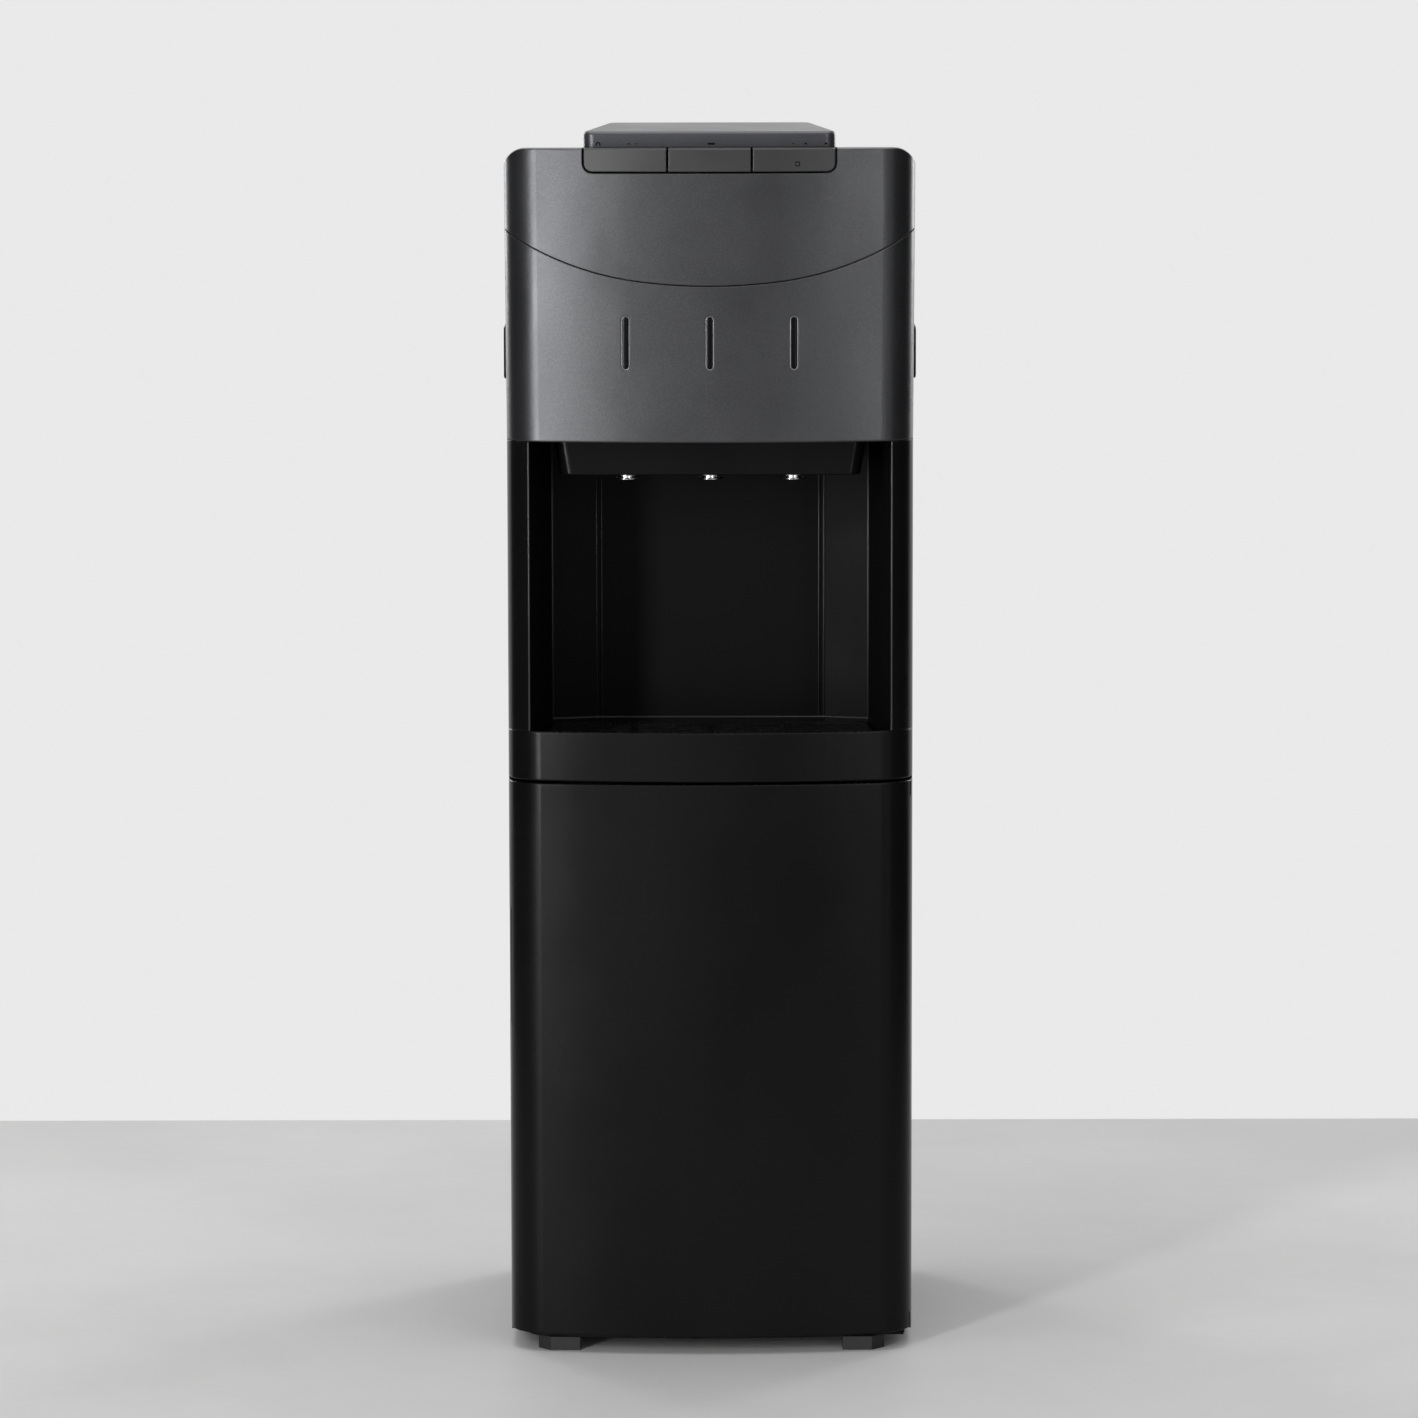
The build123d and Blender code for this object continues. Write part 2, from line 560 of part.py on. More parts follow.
SWITCH_X = -HALF_W + SWITCH_IN
ROCKER_XS = (SWITCH_X - ROCKER_PITCH / 2, SWITCH_X + ROCKER_PITCH / 2)
ROCKER_Y = REAR_Y - ROCKER_IN
DRAIN_X = HALF_W - DRAIN_IN
DRAIN_Z = DECK_TOP_Z + DRAIN_UP
INLET_X = HALF_W - INLET_IN
INLET_Z = BASE_BOTTOM_Z + INLET_UP
LEAD_Y = REAR_Y - LEAD_IN
MAINS_LEAD_AT = (INLET_X + MAINS_LEAD_X, LEAD_Y)
SWITCH_LEAD_AT = (COMPRESSOR_X + SWITCH_LEAD_X, COMPRESSOR_Y + SWITCH_LEAD_Y)
STATIONS = {"left": -STATION_PITCH, "center": 0.0, "right": STATION_PITCH}


# ================================================================ shared shapes
def block(xs, ys, zs):
    """A box between the given pairs of X, Y and Z."""
    middle = Pos((xs[0] + xs[1]) / 2, (ys[0] + ys[1]) / 2, (zs[0] + zs[1]) / 2)
    return middle * Box(xs[1] - xs[0], ys[1] - ys[0], zs[1] - zs[0])


def around(middle, half):
    """The pair of places half to each side of a middle."""
    return (middle - half, middle + half)


def rod(radius, start, end):
    """A round bar between two points."""
    start, end = Vector(*start), Vector(*end)
    axis = end - start
    return Solid.make_cylinder(radius, axis.length, Plane(origin=start, z_dir=axis))


def upright(radius, x, y, low_z, high_z):
    """A round bar standing at x, y."""
    return rod(radius, (x, y, low_z), (x, y, high_z))


def ring(outer_r, inner_r, start, end):
    """A round tube between two points."""
    return rod(outer_r, start, end) - rod(inner_r, start, end)


def bent_tube(points, radius, bend_r):
    """A round tube along straight runs joined by arcs."""
    path = FilletPolyline(*points, radius=bend_r)
    section = Plane(origin=path @ 0, z_dir=path % 0) * Circle(radius)
    return sweep(section, path=path)


def prism(face, low_z, high_z):
    """A plan outline raised between two heights."""
    return Pos(0, 0, low_z) * extrude(face, amount=high_z - low_z, dir=(0, 0, 1))


def front_plane(y):
    """An upright plane at y, with X to the right and Z up."""
    return Plane(origin=(0, y, 0), x_dir=(1, 0, 0), z_dir=(0, -1, 0))


def front_prism(face, near_y, far_y):
    """An outline drawn in the front view, in X and Z, carried back from near_y to far_y."""
    return extrude(front_plane(near_y) * face, amount=far_y - near_y, dir=(0, 1, 0))


def mirrored(shape):
    """The same piece on the other side."""
    return mirror(shape, about=Plane.YZ)


def group(*solids):
    """Several separate solids kept as one node."""
    return Compound(list(solids))


def spaced(low, high, count):
    """Evenly spaced places from low to high."""
    return [low + i * (high - low) / (count - 1) for i in range(count)]


def corner_arc(start, end, middle, radius):
    """A quarter arc about middle; its halfway point lies towards the bend of start and end."""
    lean = radius / sqrt(2)
    towards = (start[0] + end[0] - 2 * middle[0], start[1] + end[1] - 2 * middle[1])
    side_x = lean if towards[0] > 0 else -lean
    side_y = lean if towards[1] > 0 else -lean
    return ThreePointArc(start, (middle[0] + side_x, middle[1] + side_y), end)


def plan_face(inset, back_y, half_w=HALF_W):
    """Plan of the cabinet, from the bowed front back to back_y, drawn inset inside the skin."""
    corner_x = half_w - CORNER_R
    reach = BOW_R - CORNER_R
    corner_y = BOW_Y - sqrt(reach ** 2 - corner_x ** 2)
    ux, uy = corner_x / reach, (corner_y - BOW_Y) / reach
    bow_x, bow_end_y = (BOW_R - inset) * ux, BOW_Y + (BOW_R - inset) * uy
    corner_r = CORNER_R - inset
    mid = hypot(1 + ux, uy)
    mid_x, mid_y = corner_x + corner_r * (1 + ux) / mid, corner_y + corner_r * uy / mid
    side = half_w - inset
    return Face(Wire([
        Line((-side, back_y), (-side, corner_y)),
        ThreePointArc((-side, corner_y), (-mid_x, mid_y), (-bow_x, bow_end_y)),
        ThreePointArc((-bow_x, bow_end_y), (0, FRONT_Y + inset), (bow_x, bow_end_y)),
        ThreePointArc((bow_x, bow_end_y), (mid_x, mid_y), (side, corner_y)),
        Line((side, corner_y), (side, back_y)),
        Line((side, back_y), (-side, back_y)),
    ]))


def round_front_edges(solid, radius, low=True, high=True):
    """Round the edges that run along the bowed front at the bottom, the top or both."""
    box = solid.bounding_box()
    back_y = box.max.Y

    def picked(edge):
        middle = edge.center()
        on_low = low and abs(middle.Z - box.min.Z) < FIT
        on_high = high and abs(middle.Z - box.max.Z) < FIT
        return middle.Y < back_y - FIT and (on_low or on_high)
    return fillet(solid.edges().filter_by(picked), radius)


def skin_y(x, inset=0.0):
    """Y of the front skin at x, measured inset inside the skin."""
    corner_x = HALF_W - CORNER_R
    if abs(x) <= (BOW_R - inset) * corner_x / (BOW_R - CORNER_R):
        return BOW_Y - sqrt((BOW_R - inset) ** 2 - x ** 2)
    return CORNER_Y - sqrt((CORNER_R - inset) ** 2 - (abs(x) - corner_x) ** 2)


def head_half_w(z):
    """Half width of the head at height z: it widens a little to its top."""
    return HALF_W + FASCIA_FLARE * (z - HEAD_BOTTOM_Z) / (CROWN_TOP_Z - HEAD_BOTTOM_Z)


def head_loft(inset, back_y, low_z, high_z):
    """The head's plan carried up with its slight widening."""
    low = Pos(0, 0, low_z) * plan_face(inset, back_y, head_half_w(low_z))
    high = Pos(0, 0, high_z) * plan_face(inset, back_y, head_half_w(high_z))
    return loft([low, high])


def seam_prism(shift, above, far_y):
    """Everything above or below the head's curved seam, from the front back to far_y."""
    drop = sqrt(SEAM_MID_R ** 2 - SEAM_MID_HALF ** 2)
    low_z = SEAM_MID_Z + shift
    bend_z = low_z + SEAM_MID_R - drop
    bend_l, bend_r = (-SEAM_MID_HALF, bend_z), (SEAM_MID_HALF, bend_z)
    wide = HALF_W + 2 * FASCIA_FLARE
    end_z = SEAM_SIDE_Z + shift
    lean = SEAM_MID_HALF / drop
    limit_z = CROWN_TOP_Z + SEAM_DOWN_SIDE if above else HEAD_BOTTOM_Z - SEAM_DOWN_SIDE
    outline = Wire([
        ThreePointArc(bend_l, (0, low_z), bend_r),
        TangentArc(bend_r, (wide, end_z), tangent=(1, lean)),
        Line((wide, end_z), (wide, limit_z)),
        Line((wide, limit_z), (-wide, limit_z)),
        Line((-wide, limit_z), (-wide, end_z)),
        TangentArc(bend_l, (-wide, end_z), tangent=(-1, lean)),
    ])
    return front_prism(Face(outline), FRONT_Y - OVER, far_y)


def crown_outline(inset, top_z, low_z):
    """The crown in the front view: upright sides and two round top corners."""
    half = HALF_W + FASCIA_FLARE + OVER - inset
    r = CROWN_CORNER_R - inset
    shoulder_z, shoulder_x = top_z - r, half - r
    return Face(Wire([
        Line((-half, low_z), (-half, shoulder_z)),
        corner_arc((-half, shoulder_z), (-shoulder_x, top_z), (-shoulder_x, shoulder_z), r),
        Line((-shoulder_x, top_z), (shoulder_x, top_z)),
        corner_arc((shoulder_x, top_z), (half, shoulder_z), (shoulder_x, shoulder_z), r),
        Line((half, shoulder_z), (half, low_z)),
        Line((half, low_z), (-half, low_z)),
    ]))


# ================================================================ cabinet
def base_pan():
    """Plastic base: a plate under the door and a rimmed tray under the bottle bay."""
    front = prism(plan_face(BASE_INSET, SIDE_FRONT_Y), BASE_BOTTOM_Z, BASE_TOP_Z)
    rear = block((-SIDE_IN, SIDE_IN), (SIDE_FRONT_Y, REAR_IN_Y), (BASE_BOTTOM_Z, BASE_RIM_Z))
    room = block(around(0, SIDE_IN - BASE_T), (SIDE_FRONT_Y + BASE_T, REAR_IN_Y - BASE_T),
                 (BASE_TOP_Z, BASE_RIM_Z + OVER))
    return front + rear - room


def side_panel():
    """Right side: painted sheet with a folded front edge and the hole for its hand grip."""
    sheet = block((SIDE_IN, HALF_W), (SIDE_FRONT_Y, REAR_Y), (BASE_BOTTOM_Z, SEAM_SIDE_Z))
    fold = block((SIDE_IN - FLANGE_W, SIDE_IN), (SIDE_FRONT_Y, SIDE_FRONT_Y + PANEL_T),
                 (BASE_RIM_Z, APRON_BOTTOM_Z))
    grip_hole = block((SIDE_IN - OVER, HALF_W + OVER), grip_ys(GRIP_RIM), grip_zs(GRIP_RIM))
    return sheet + fold - grip_hole


def grip_ys(inset=0.0):
    """Front and back of a hand grip, drawn in by inset."""
    return around(GRIP_MID_Y, GRIP_L / 2 - inset)


def grip_zs(inset=0.0):
    """Bottom and top of a hand grip, drawn in by inset."""
    return around(GRIP_MID_Z, GRIP_H / 2 - inset)


def side_grip():
    """Right hand grip: a moulded cup let into the side, with a rim that stands proud."""
    rim = block((HALF_W, HALF_W + GRIP_PROUD), grip_ys(), grip_zs())
    rim = fillet(rim.edges().filter_by(Axis.X), GRIP_RIM)
    rim = fillet(rim.faces().sort_by(Axis.X)[-1].edges(), GRIP_EDGE_R)
    in_hole, inside = GRIP_RIM + RUN_FIT, GRIP_RIM + GRIP_WALL
    cup = block((HALF_W - GRIP_CUP_DEEP, HALF_W), grip_ys(in_hole), grip_zs(in_hole))
    hollow = block((HALF_W - GRIP_CUP_DEEP + GRIP_WALL, HALF_W + GRIP_PROUD + OVER),
                   grip_ys(inside), grip_zs(inside))
    return rim + cup - hollow


def through_back(x, z, radius):
    """A round cut through the rear panel."""
    return rod(radius, (x, REAR_IN_Y - OVER, z), (x, REAR_Y + OVER, z))


def rear_panel():
    """Painted sheet across the back, with vents and the holes for what passes through it."""
    sheet = block((-SIDE_IN, SIDE_IN), (REAR_IN_Y, REAR_Y), (BASE_BOTTOM_Z, SEAM_SIDE_Z))
    through = (REAR_IN_Y - OVER, REAR_Y + OVER)
    for low_z in (BASE_BOTTOM_Z + VENT_LOW_UP, DECK_TOP_Z + VENT_HIGH_UP):
        for row in range(VENT_ROWS):
            z = low_z + row * VENT_PITCH
            sheet = sheet - block(around(0, VENT_HALF_W), through, (z, z + VENT_SLOT_H))
    sheet = sheet - block(around(SWITCH_X, SWITCH_HALF_W), through, around(SWITCH_MID_Z, SWITCH_HALF_H))
    sheet = sheet - block(around(INLET_X, INLET_HALF_W), through, around(INLET_Z, INLET_HALF_H))
    sheet = sheet - through_back(DRAIN_X, DRAIN_Z, DRAIN_R)
    tube_hole_r = CONDENSER_TUBE_R + CONDENSER_HOLE_FIT
    sheet = sheet - through_back(CONDENSER_RISER_X, CONDENSER_IN_Z, tube_hole_r)
    return sheet - through_back(-CONDENSER_RISER_X, CONDENSER_LOW_Z, tube_hole_r)


def decked(low_z, front_y):
    """A steel deck across the cabinet with its two sides folded down against the side panels."""
    plate = block((-SIDE_IN, SIDE_IN), (front_y, REAR_IN_Y), (low_z, low_z + DECK_T))
    fold = block((SIDE_IN - DECK_T, SIDE_IN), (front_y, REAR_IN_Y), (low_z - DECK_FLANGE_H, low_z))
    return plate + fold + mirrored(fold)


def deck_hole(x, y, low_z, radius):
    """A round cut through a deck whose underside is at low_z."""
    return upright(radius, x, y, low_z - OVER, low_z + DECK_T + OVER)


def mid_deck():
    """Deck over the bottle bay, with holes for the pump's suction hose and the mains lead."""
    deck = decked(DECK_BOTTOM_Z, SIDE_FRONT_Y + PANEL_T)
    deck = deck - deck_hole(PUMP_IN_X, PUMP_Y, DECK_BOTTOM_Z, HOSE_R + FIT)
    return deck - deck_hole(*MAINS_LEAD_AT, DECK_BOTTOM_Z, LEAD_R + FIT)


def tank_deck():
    """Deck under the two tanks, with holes for the lines that come up through it."""
    deck = decked(HEAD_BOTTOM_Z, TANK_DECK_FRONT_Y)
    for x, y in ((0, INSIDE_LINE_Y), SUCTION_AT, LIQUID_AT, DRAIN_TOP_AT, SWITCH_LEAD_AT):
        deck = deck - deck_hole(x, y, HEAD_BOTTOM_Z, HOSE_R)
    return deck


def bottle_cradle():
    """Moulded floor of the bottle bay with four corner guides that centre the bottle."""
    gap = BASE_T + FIT
    xs = around(0, SIDE_IN - gap)
    ys = (SIDE_FRONT_Y + gap, REAR_IN_Y - gap)
    floor = block(xs, ys, (BASE_TOP_Z, CRADLE_SEAT_Z))
    guides = block(xs, ys, (CRADLE_SEAT_Z, CRADLE_TOP_Z))
    cut_zs = (CRADLE_SEAT_Z, CRADLE_TOP_Z + OVER)
    guides = guides - block(around(0, CRADLE_GUIDE_FROM), ys, cut_zs)
    guides = guides - block(xs, around(BOTTLE_Y, CRADLE_GUIDE_FROM), cut_zs)
    return floor + (guides - upright(SEAT_R, 0, BOTTLE_Y, *cut_zs))


def tray_apron():
    """Fixed front band between the door and the niche, with a floor that laps under the deck."""
    skin = prism(plan_face(0, SIDE_FRONT_Y), APRON_BOTTOM_Z, APRON_TOP_Z)
    skin = round_front_edges(skin, APRON_EDGE_R)
    skin = skin - prism(plan_face(APRON_WALL, SIDE_FRONT_Y + OVER), APRON_BOTTOM_Z - OVER, APRON_TOP_Z + OVER)
    floor = prism(plan_face(APRON_WALL - APRON_FLOOR_BITE, SIDE_FRONT_Y + PANEL_T + APRON_FLOOR_LAP),
                  APRON_FLOOR_Z, DECK_BOTTOM_Z)
    return skin + floor


def front_posts():
    """The two hollow columns beside the niche."""
    zs = (APRON_TOP_Z, HEAD_BOTTOM_Z)
    outer = prism(plan_face(0, SIDE_FRONT_Y), *zs)
    outer = outer - prism(plan_face(POST_WALL, SIDE_FRONT_Y + OVER), APRON_TOP_Z - OVER, HEAD_BOTTOM_Z + OVER)
    post = outer & block((NICHE_HALF_FRONT, HALF_W + OVER), (FRONT_Y, SIDE_FRONT_Y), zs)
    wall_front_y = skin_y(NICHE_HALF_FRONT + POST_WALL, POST_WALL / 2)
    wall = block((NICHE_HALF_FRONT, NICHE_HALF_FRONT + POST_WALL), (wall_front_y, SIDE_FRONT_Y), zs)
    post = post + wall
    return group(post, mirrored(post))


def niche_plan(side_clear, front_y):
    """Plan of the niche's inside: tapering sides, two angled facets and a flat middle panel."""
    slope = (NICHE_HALF_FRONT - NICHE_HALF_BACK) / (NICHE_BACK_Y - SIDE_FRONT_Y)
    front_half = NICHE_HALF_FRONT + slope * (SIDE_FRONT_Y - front_y) - side_clear
    right = [(front_half, front_y), (NICHE_HALF_BACK - side_clear, NICHE_BACK_Y),
             (NICHE_PANEL_HALF, NICHE_PANEL_Y)]
    left = [(-x, y) for x, y in reversed(right)]
    return Face(Wire.make_polygon([(x, y, 0) for x, y in right + left], close=True))


def niche_liner():
    """Moulded liner of the niche: sides, facets, grooved back and a ceiling."""
    inner = niche_plan(0.0, SIDE_FRONT_Y - POST_W)
    outer = offset(inner, LINER_T, kind=Kind.INTERSECTION)
    walls = prism(outer, DECK_TOP_Z, HEAD_BOTTOM_Z) - prism(inner, DECK_TOP_Z - OVER, HOOD_TOP_Z)
    walls = walls & block((-HALF_W, HALF_W), (SIDE_FRONT_Y, REAR_Y), (DECK_TOP_Z, HEAD_BOTTOM_Z))
    groove_zs = (APRON_TOP_Z - GROOVE_PAST, HOOD_BOTTOM_Z + GROOVE_PAST)
    for x in (-NICHE_PANEL_HALF + GROOVE_W, NICHE_PANEL_HALF - GROOVE_W):
        walls = walls - block(around(x, GROOVE_W / 2), (NICHE_PANEL_Y - OVER, NICHE_PANEL_Y + GROOVE_DEEP),
                              groove_zs)
    for x in STATIONS.values():
        walls = walls - upright(SPOUT_TUBE_R + FIT, x, SPOUT_Y, HOOD_TOP_Z - OVER, HEAD_BOTTOM_Z + OVER)
    return walls


def hinge_brackets():
    """Top and bottom door hinges: a plate with a fixed pin, riveted to the cabinet."""
    xs = (HINGE_X - HINGE_PLATE_L, HINGE_X + HINGE_PLATE_OUT)
    ys = (HINGE_Y - HINGE_PIN_R - HINGE_PLATE_EDGE, SIDE_FRONT_Y + PANEL_T)
    half_t = HINGE_PLATE_T / 2
    top = block(xs, ys, (APRON_FLOOR_Z - HINGE_PLATE_T, APRON_FLOOR_Z))
    top = top + upright(HINGE_PIN_R, HINGE_X, HINGE_Y, DOOR_TOP_Z - HINGE_PIN_L, APRON_FLOOR_Z - half_t)
    bottom = block(xs, ys, (BASE_BOTTOM_Z - HINGE_PLATE_T, BASE_BOTTOM_Z))
    pin_top_z = DOOR_BOTTOM_Z + HINGE_PIN_L
    bottom = bottom + upright(HINGE_PIN_R, HINGE_X, HINGE_Y, BASE_BOTTOM_Z - half_t, pin_top_z)
    return group(top, bottom)


# ================================================================ door
def door_shell():
    """The bowed moulding, open at the back."""
    skin = round_front_edges(prism(plan_face(0, DOOR_BACK_Y), DOOR_BOTTOM_Z, DOOR_TOP_Z), DOOR_EDGE_R)
    room = plan_face(DOOR_WALL, DOOR_BACK_Y + OVER)
    return skin - prism(room, DOOR_BOTTOM_Z + DOOR_WALL, DOOR_TOP_Z - DOOR_WALL)


def scoop_zs(grow):
    """Bottom and top of the finger scoop, grown by grow."""
    return around(SCOOP_MID_Z, SCOOP_H / 2 + grow)


def door_panel():
    """Door moulding with hinge bores, screw bosses and a finger scoop in its left edge."""
    skin = door_shell()
    liner_front_y = DOOR_BACK_Y - DOOR_LINER_T
    boss_xs = (HINGE_X - HINGE_BOSS_W / 2, HALF_W - DOOR_WALL / 2)
    boss_ys = (HINGE_Y - HINGE_BOSS_W / 2, liner_front_y - FIT)
    boss_h = HINGE_PIN_L + HINGE_BOSS_END
    skin = skin + block(boss_xs, boss_ys, (DOOR_BOTTOM_Z + OVER, DOOR_BOTTOM_Z + boss_h))
    skin = skin + block(boss_xs, boss_ys, (DOOR_TOP_Z - boss_h, DOOR_TOP_Z - OVER))
    for x in (-DOOR_BOSS_X, DOOR_BOSS_X):
        for z in DOOR_BOSS_ZS:
            skin = skin + rod(DOOR_BOSS_R, (x, skin_y(x, DOOR_WALL / 2), z), (x, liner_front_y, z))
    cup_y = DOOR_BACK_Y - SCOOP_DEEP
    skin = skin + block((-HALF_W + DOOR_WALL / 2, -HALF_W + SCOOP_IN + DOOR_WALL),
                        (cup_y - DOOR_WALL, DOOR_BACK_Y), scoop_zs(DOOR_WALL))
    skin = skin - block((-HALF_W - OVER, -HALF_W + SCOOP_IN), (cup_y, DOOR_BACK_Y + OVER), scoop_zs(0))
    for edge_z, inward in ((DOOR_BOTTOM_Z, 1), (DOOR_TOP_Z, -1)):
        bore = sorted((edge_z - inward * OVER, edge_z + inward * (HINGE_PIN_L + OVER)))
        skin = skin - upright(HINGE_PIN_R + RUN_FIT, HINGE_X, HINGE_Y, *bore)
    return skin


def door_liner():
    """Flat inner skin of the door, let into the back of the moulding, with pressed ribs."""
    half = HALF_W - DOOR_WALL - FIT
    low_z, high_z = DOOR_BOTTOM_Z + DOOR_WALL + FIT, DOOR_TOP_Z - DOOR_WALL - FIT
    front_y = DOOR_BACK_Y - DOOR_LINER_T
    sheet = block((-half, half), (front_y, DOOR_BACK_Y), (low_z, high_z))
    for x in LINER_RIB_XS:
        sheet = sheet + block(around(x, LINER_RIB_W / 2), (DOOR_BACK_Y - LINER_RIB_DEEP, front_y),
                              (low_z + LINER_RIB_END, high_z - LINER_RIB_END))
    scoop = block((-half - OVER, -HALF_W + SCOOP_IN + DOOR_WALL + FIT),
                  (DOOR_BACK_Y - SCOOP_DEEP, DOOR_BACK_Y + OVER), scoop_zs(DOOR_WALL + FIT))
    return sheet - scoop


def strike_plate():
    """Steel plate on the door's inner skin that the magnetic catch holds."""
    return block(CATCH_XS, (DOOR_BACK_Y, DOOR_BACK_Y + STRIKE_T), around(CATCH_Z, STRIKE_H / 2))


def magnetic_catch():
    """Magnet block under the deck, a hair behind the door's strike plate."""
    return block(CATCH_XS, (DOOR_BACK_Y + STRIKE_T + FIT, SIDE_FRONT_Y + PANEL_T + CATCH_D),
                 (CATCH_Z - STRIKE_H / 2, APRON_FLOOR_Z))


# ================================================================ niche, spouts and drip tray
def hood_outline(width, inset, z):
    """Plan of the spout hood at height z, drawn in by inset."""
    shape = RectangleRounded(width - 2 * inset, HOOD_DEPTH - 2 * inset, HOOD_CORNER_R - inset)
    return Pos(0, HOOD_FRONT_Y + HOOD_DEPTH / 2, z) * shape


def faucet_hood():
    """Hollow hood under the niche ceiling, narrower downward, with three spout bores."""
    body = loft([hood_outline(HOOD_BOTTOM_W, 0, HOOD_BOTTOM_Z), hood_outline(HOOD_TOP_W, 0, HOOD_TOP_Z)])
    body = fillet(body.faces().sort_by(Axis.Z)[0].edges(), HOOD_EDGE_R)
    body = body - loft([hood_outline(HOOD_BOTTOM_W, HOOD_WALL, HOOD_FLOOR_Z),
                        hood_outline(HOOD_TOP_W, HOOD_WALL, HOOD_TOP_Z + OVER)])
    for x in STATIONS.values():
        body = body - upright(SPOUT_R + RUN_FIT, x, SPOUT_Y, HOOD_BOTTOM_Z - OVER, HOOD_FLOOR_Z + OVER)
    return body


def spout(x):
    """One metal spout: a stepped nozzle with a flange that sits on the hood's floor."""
    flange_z = HOOD_FLOOR_Z + SPOUT_FLANGE_T
    body = upright(SPOUT_R, x, SPOUT_Y, SPOUT_TIP_Z, flange_z)
    body = fillet(body.edges().sort_by(Axis.Z)[0], SPOUT_TIP_R)
    body = body + upright(SPOUT_FLANGE_R, x, SPOUT_Y, HOOD_FLOOR_Z, flange_z)
    body = body + upright(SPOUT_TUBE_R, x, SPOUT_Y, HOOD_FLOOR_Z, SPOUT_TAIL_Z)
    return body - upright(SPOUT_BORE_R, x, SPOUT_Y, SPOUT_TIP_Z - OVER, SPOUT_TAIL_Z + OVER)


def spout_hose(x):
    """Short hose from the valve down to the spout's tail."""
    return ring(SPOUT_TUBE_R, SPOUT_BORE_R, (x, SPOUT_Y, SPOUT_TAIL_Z), (x, SPOUT_Y, VALVE_LOW_Z))


def solenoid_valve(x):
    """One water valve: a square body with a round coil on top and a nut over it."""
    coil_z = VALVE_LOW_Z + VALVE_H
    nut_z = coil_z + COIL_H
    body = block(around(x, VALVE_HALF), around(SPOUT_Y, VALVE_HALF), (VALVE_LOW_Z, coil_z))
    body = body + upright(COIL_R, x, SPOUT_Y, coil_z, nut_z)
    body = body + upright(COIL_NUT_R, x, SPOUT_Y, nut_z, nut_z + COIL_NUT_H)
    return body - upright(SPOUT_BORE_R, x, SPOUT_Y, VALVE_LOW_Z - OVER, VALVE_LOW_Z + VALVE_BORE_DEEP)


def valve_bracket():
    """Folded bracket on the niche ceiling that carries the three valves."""
    xs = around(0, STATION_PITCH + VALVE_HALF + BRACKET_END)
    wall = block(xs, (BRACKET_Y, BRACKET_Y + DECK_T), (HEAD_BOTTOM_Z, VALVE_LOW_Z + VALVE_H))
    foot = block(xs, (BRACKET_Y, TANK_DECK_FRONT_Y), (HEAD_BOTTOM_Z, HEAD_BOTTOM_Z + DECK_T))
    for x in STATIONS.values():
        wall = wall - valve_line(x, BRACKET_Y + DECK_T + OVER, LINE_R + FIT)
    return wall + foot


def tray_plan(inset):
    """Plan of the drip tray: the bowed front, then the niche's tapering sides."""
    front = prism(plan_face(APRON_WALL + FIT + inset, TRAY_BACK_Y - inset), 0, 1)
    sides = prism(niche_plan(TRAY_SIDE_CLEAR + inset, FRONT_Y - OVER), 0, 1)
    return (front & sides).faces().sort_by(Axis.Z)[0]


def drip_tray():
    """Lift-out basin with a ledge round its mouth that carries the grille."""
    low_z = DECK_TOP_Z + FIT
    body = prism(tray_plan(0), low_z, TRAY_TOP_Z)
    body = fillet(body.faces().sort_by(Axis.Z)[-1].edges(), TRAY_RIM_R)
    body = body - prism(tray_plan(TRAY_WALL + TRAY_LEDGE), low_z + TRAY_WALL, TRAY_TOP_Z + OVER)
    return body - prism(tray_plan(TRAY_WALL), TRAY_TOP_Z - GRILLE_T - GRILLE_SEAT_DROP, TRAY_TOP_Z + OVER)


def drip_grille():
    """Slotted grille that drops into the mouth of the tray."""
    low_z = TRAY_TOP_Z - GRILLE_T
    plate = prism(tray_plan(TRAY_WALL + FIT), low_z, TRAY_TOP_Z)
    front = FRONT_Y + GRILLE_BORDER_FRONT
    rows = int((TRAY_BACK_Y - GRILLE_BORDER - front) // GRILLE_SLOT_PITCH)
    slots = []
    for row in range(rows):
        y = front + row * GRILLE_SLOT_PITCH
        for column in range(GRILLE_BAYS):
            x = (column - (GRILLE_BAYS - 1) / 2) * GRILLE_BAY
            slots.append(block(around(x, (GRILLE_BAY - GRILLE_CROSS_W) / 2), (y, y + GRILLE_SLOT_W),
                               (low_z - OVER, TRAY_TOP_Z + OVER)))
    return plate - Compound(slots)


# ================================================================ head
def window_slot(x, grow, near_y, far_y):
    """A tall round-ended slot in the front view."""
    outline = Pos(x, WINDOW_MID_Z) * Rot(0, 0, 90) * SlotOverall(WINDOW_H + 2 * grow, WINDOW_W + 2 * grow)
    return front_prism(outline, near_y, far_y)


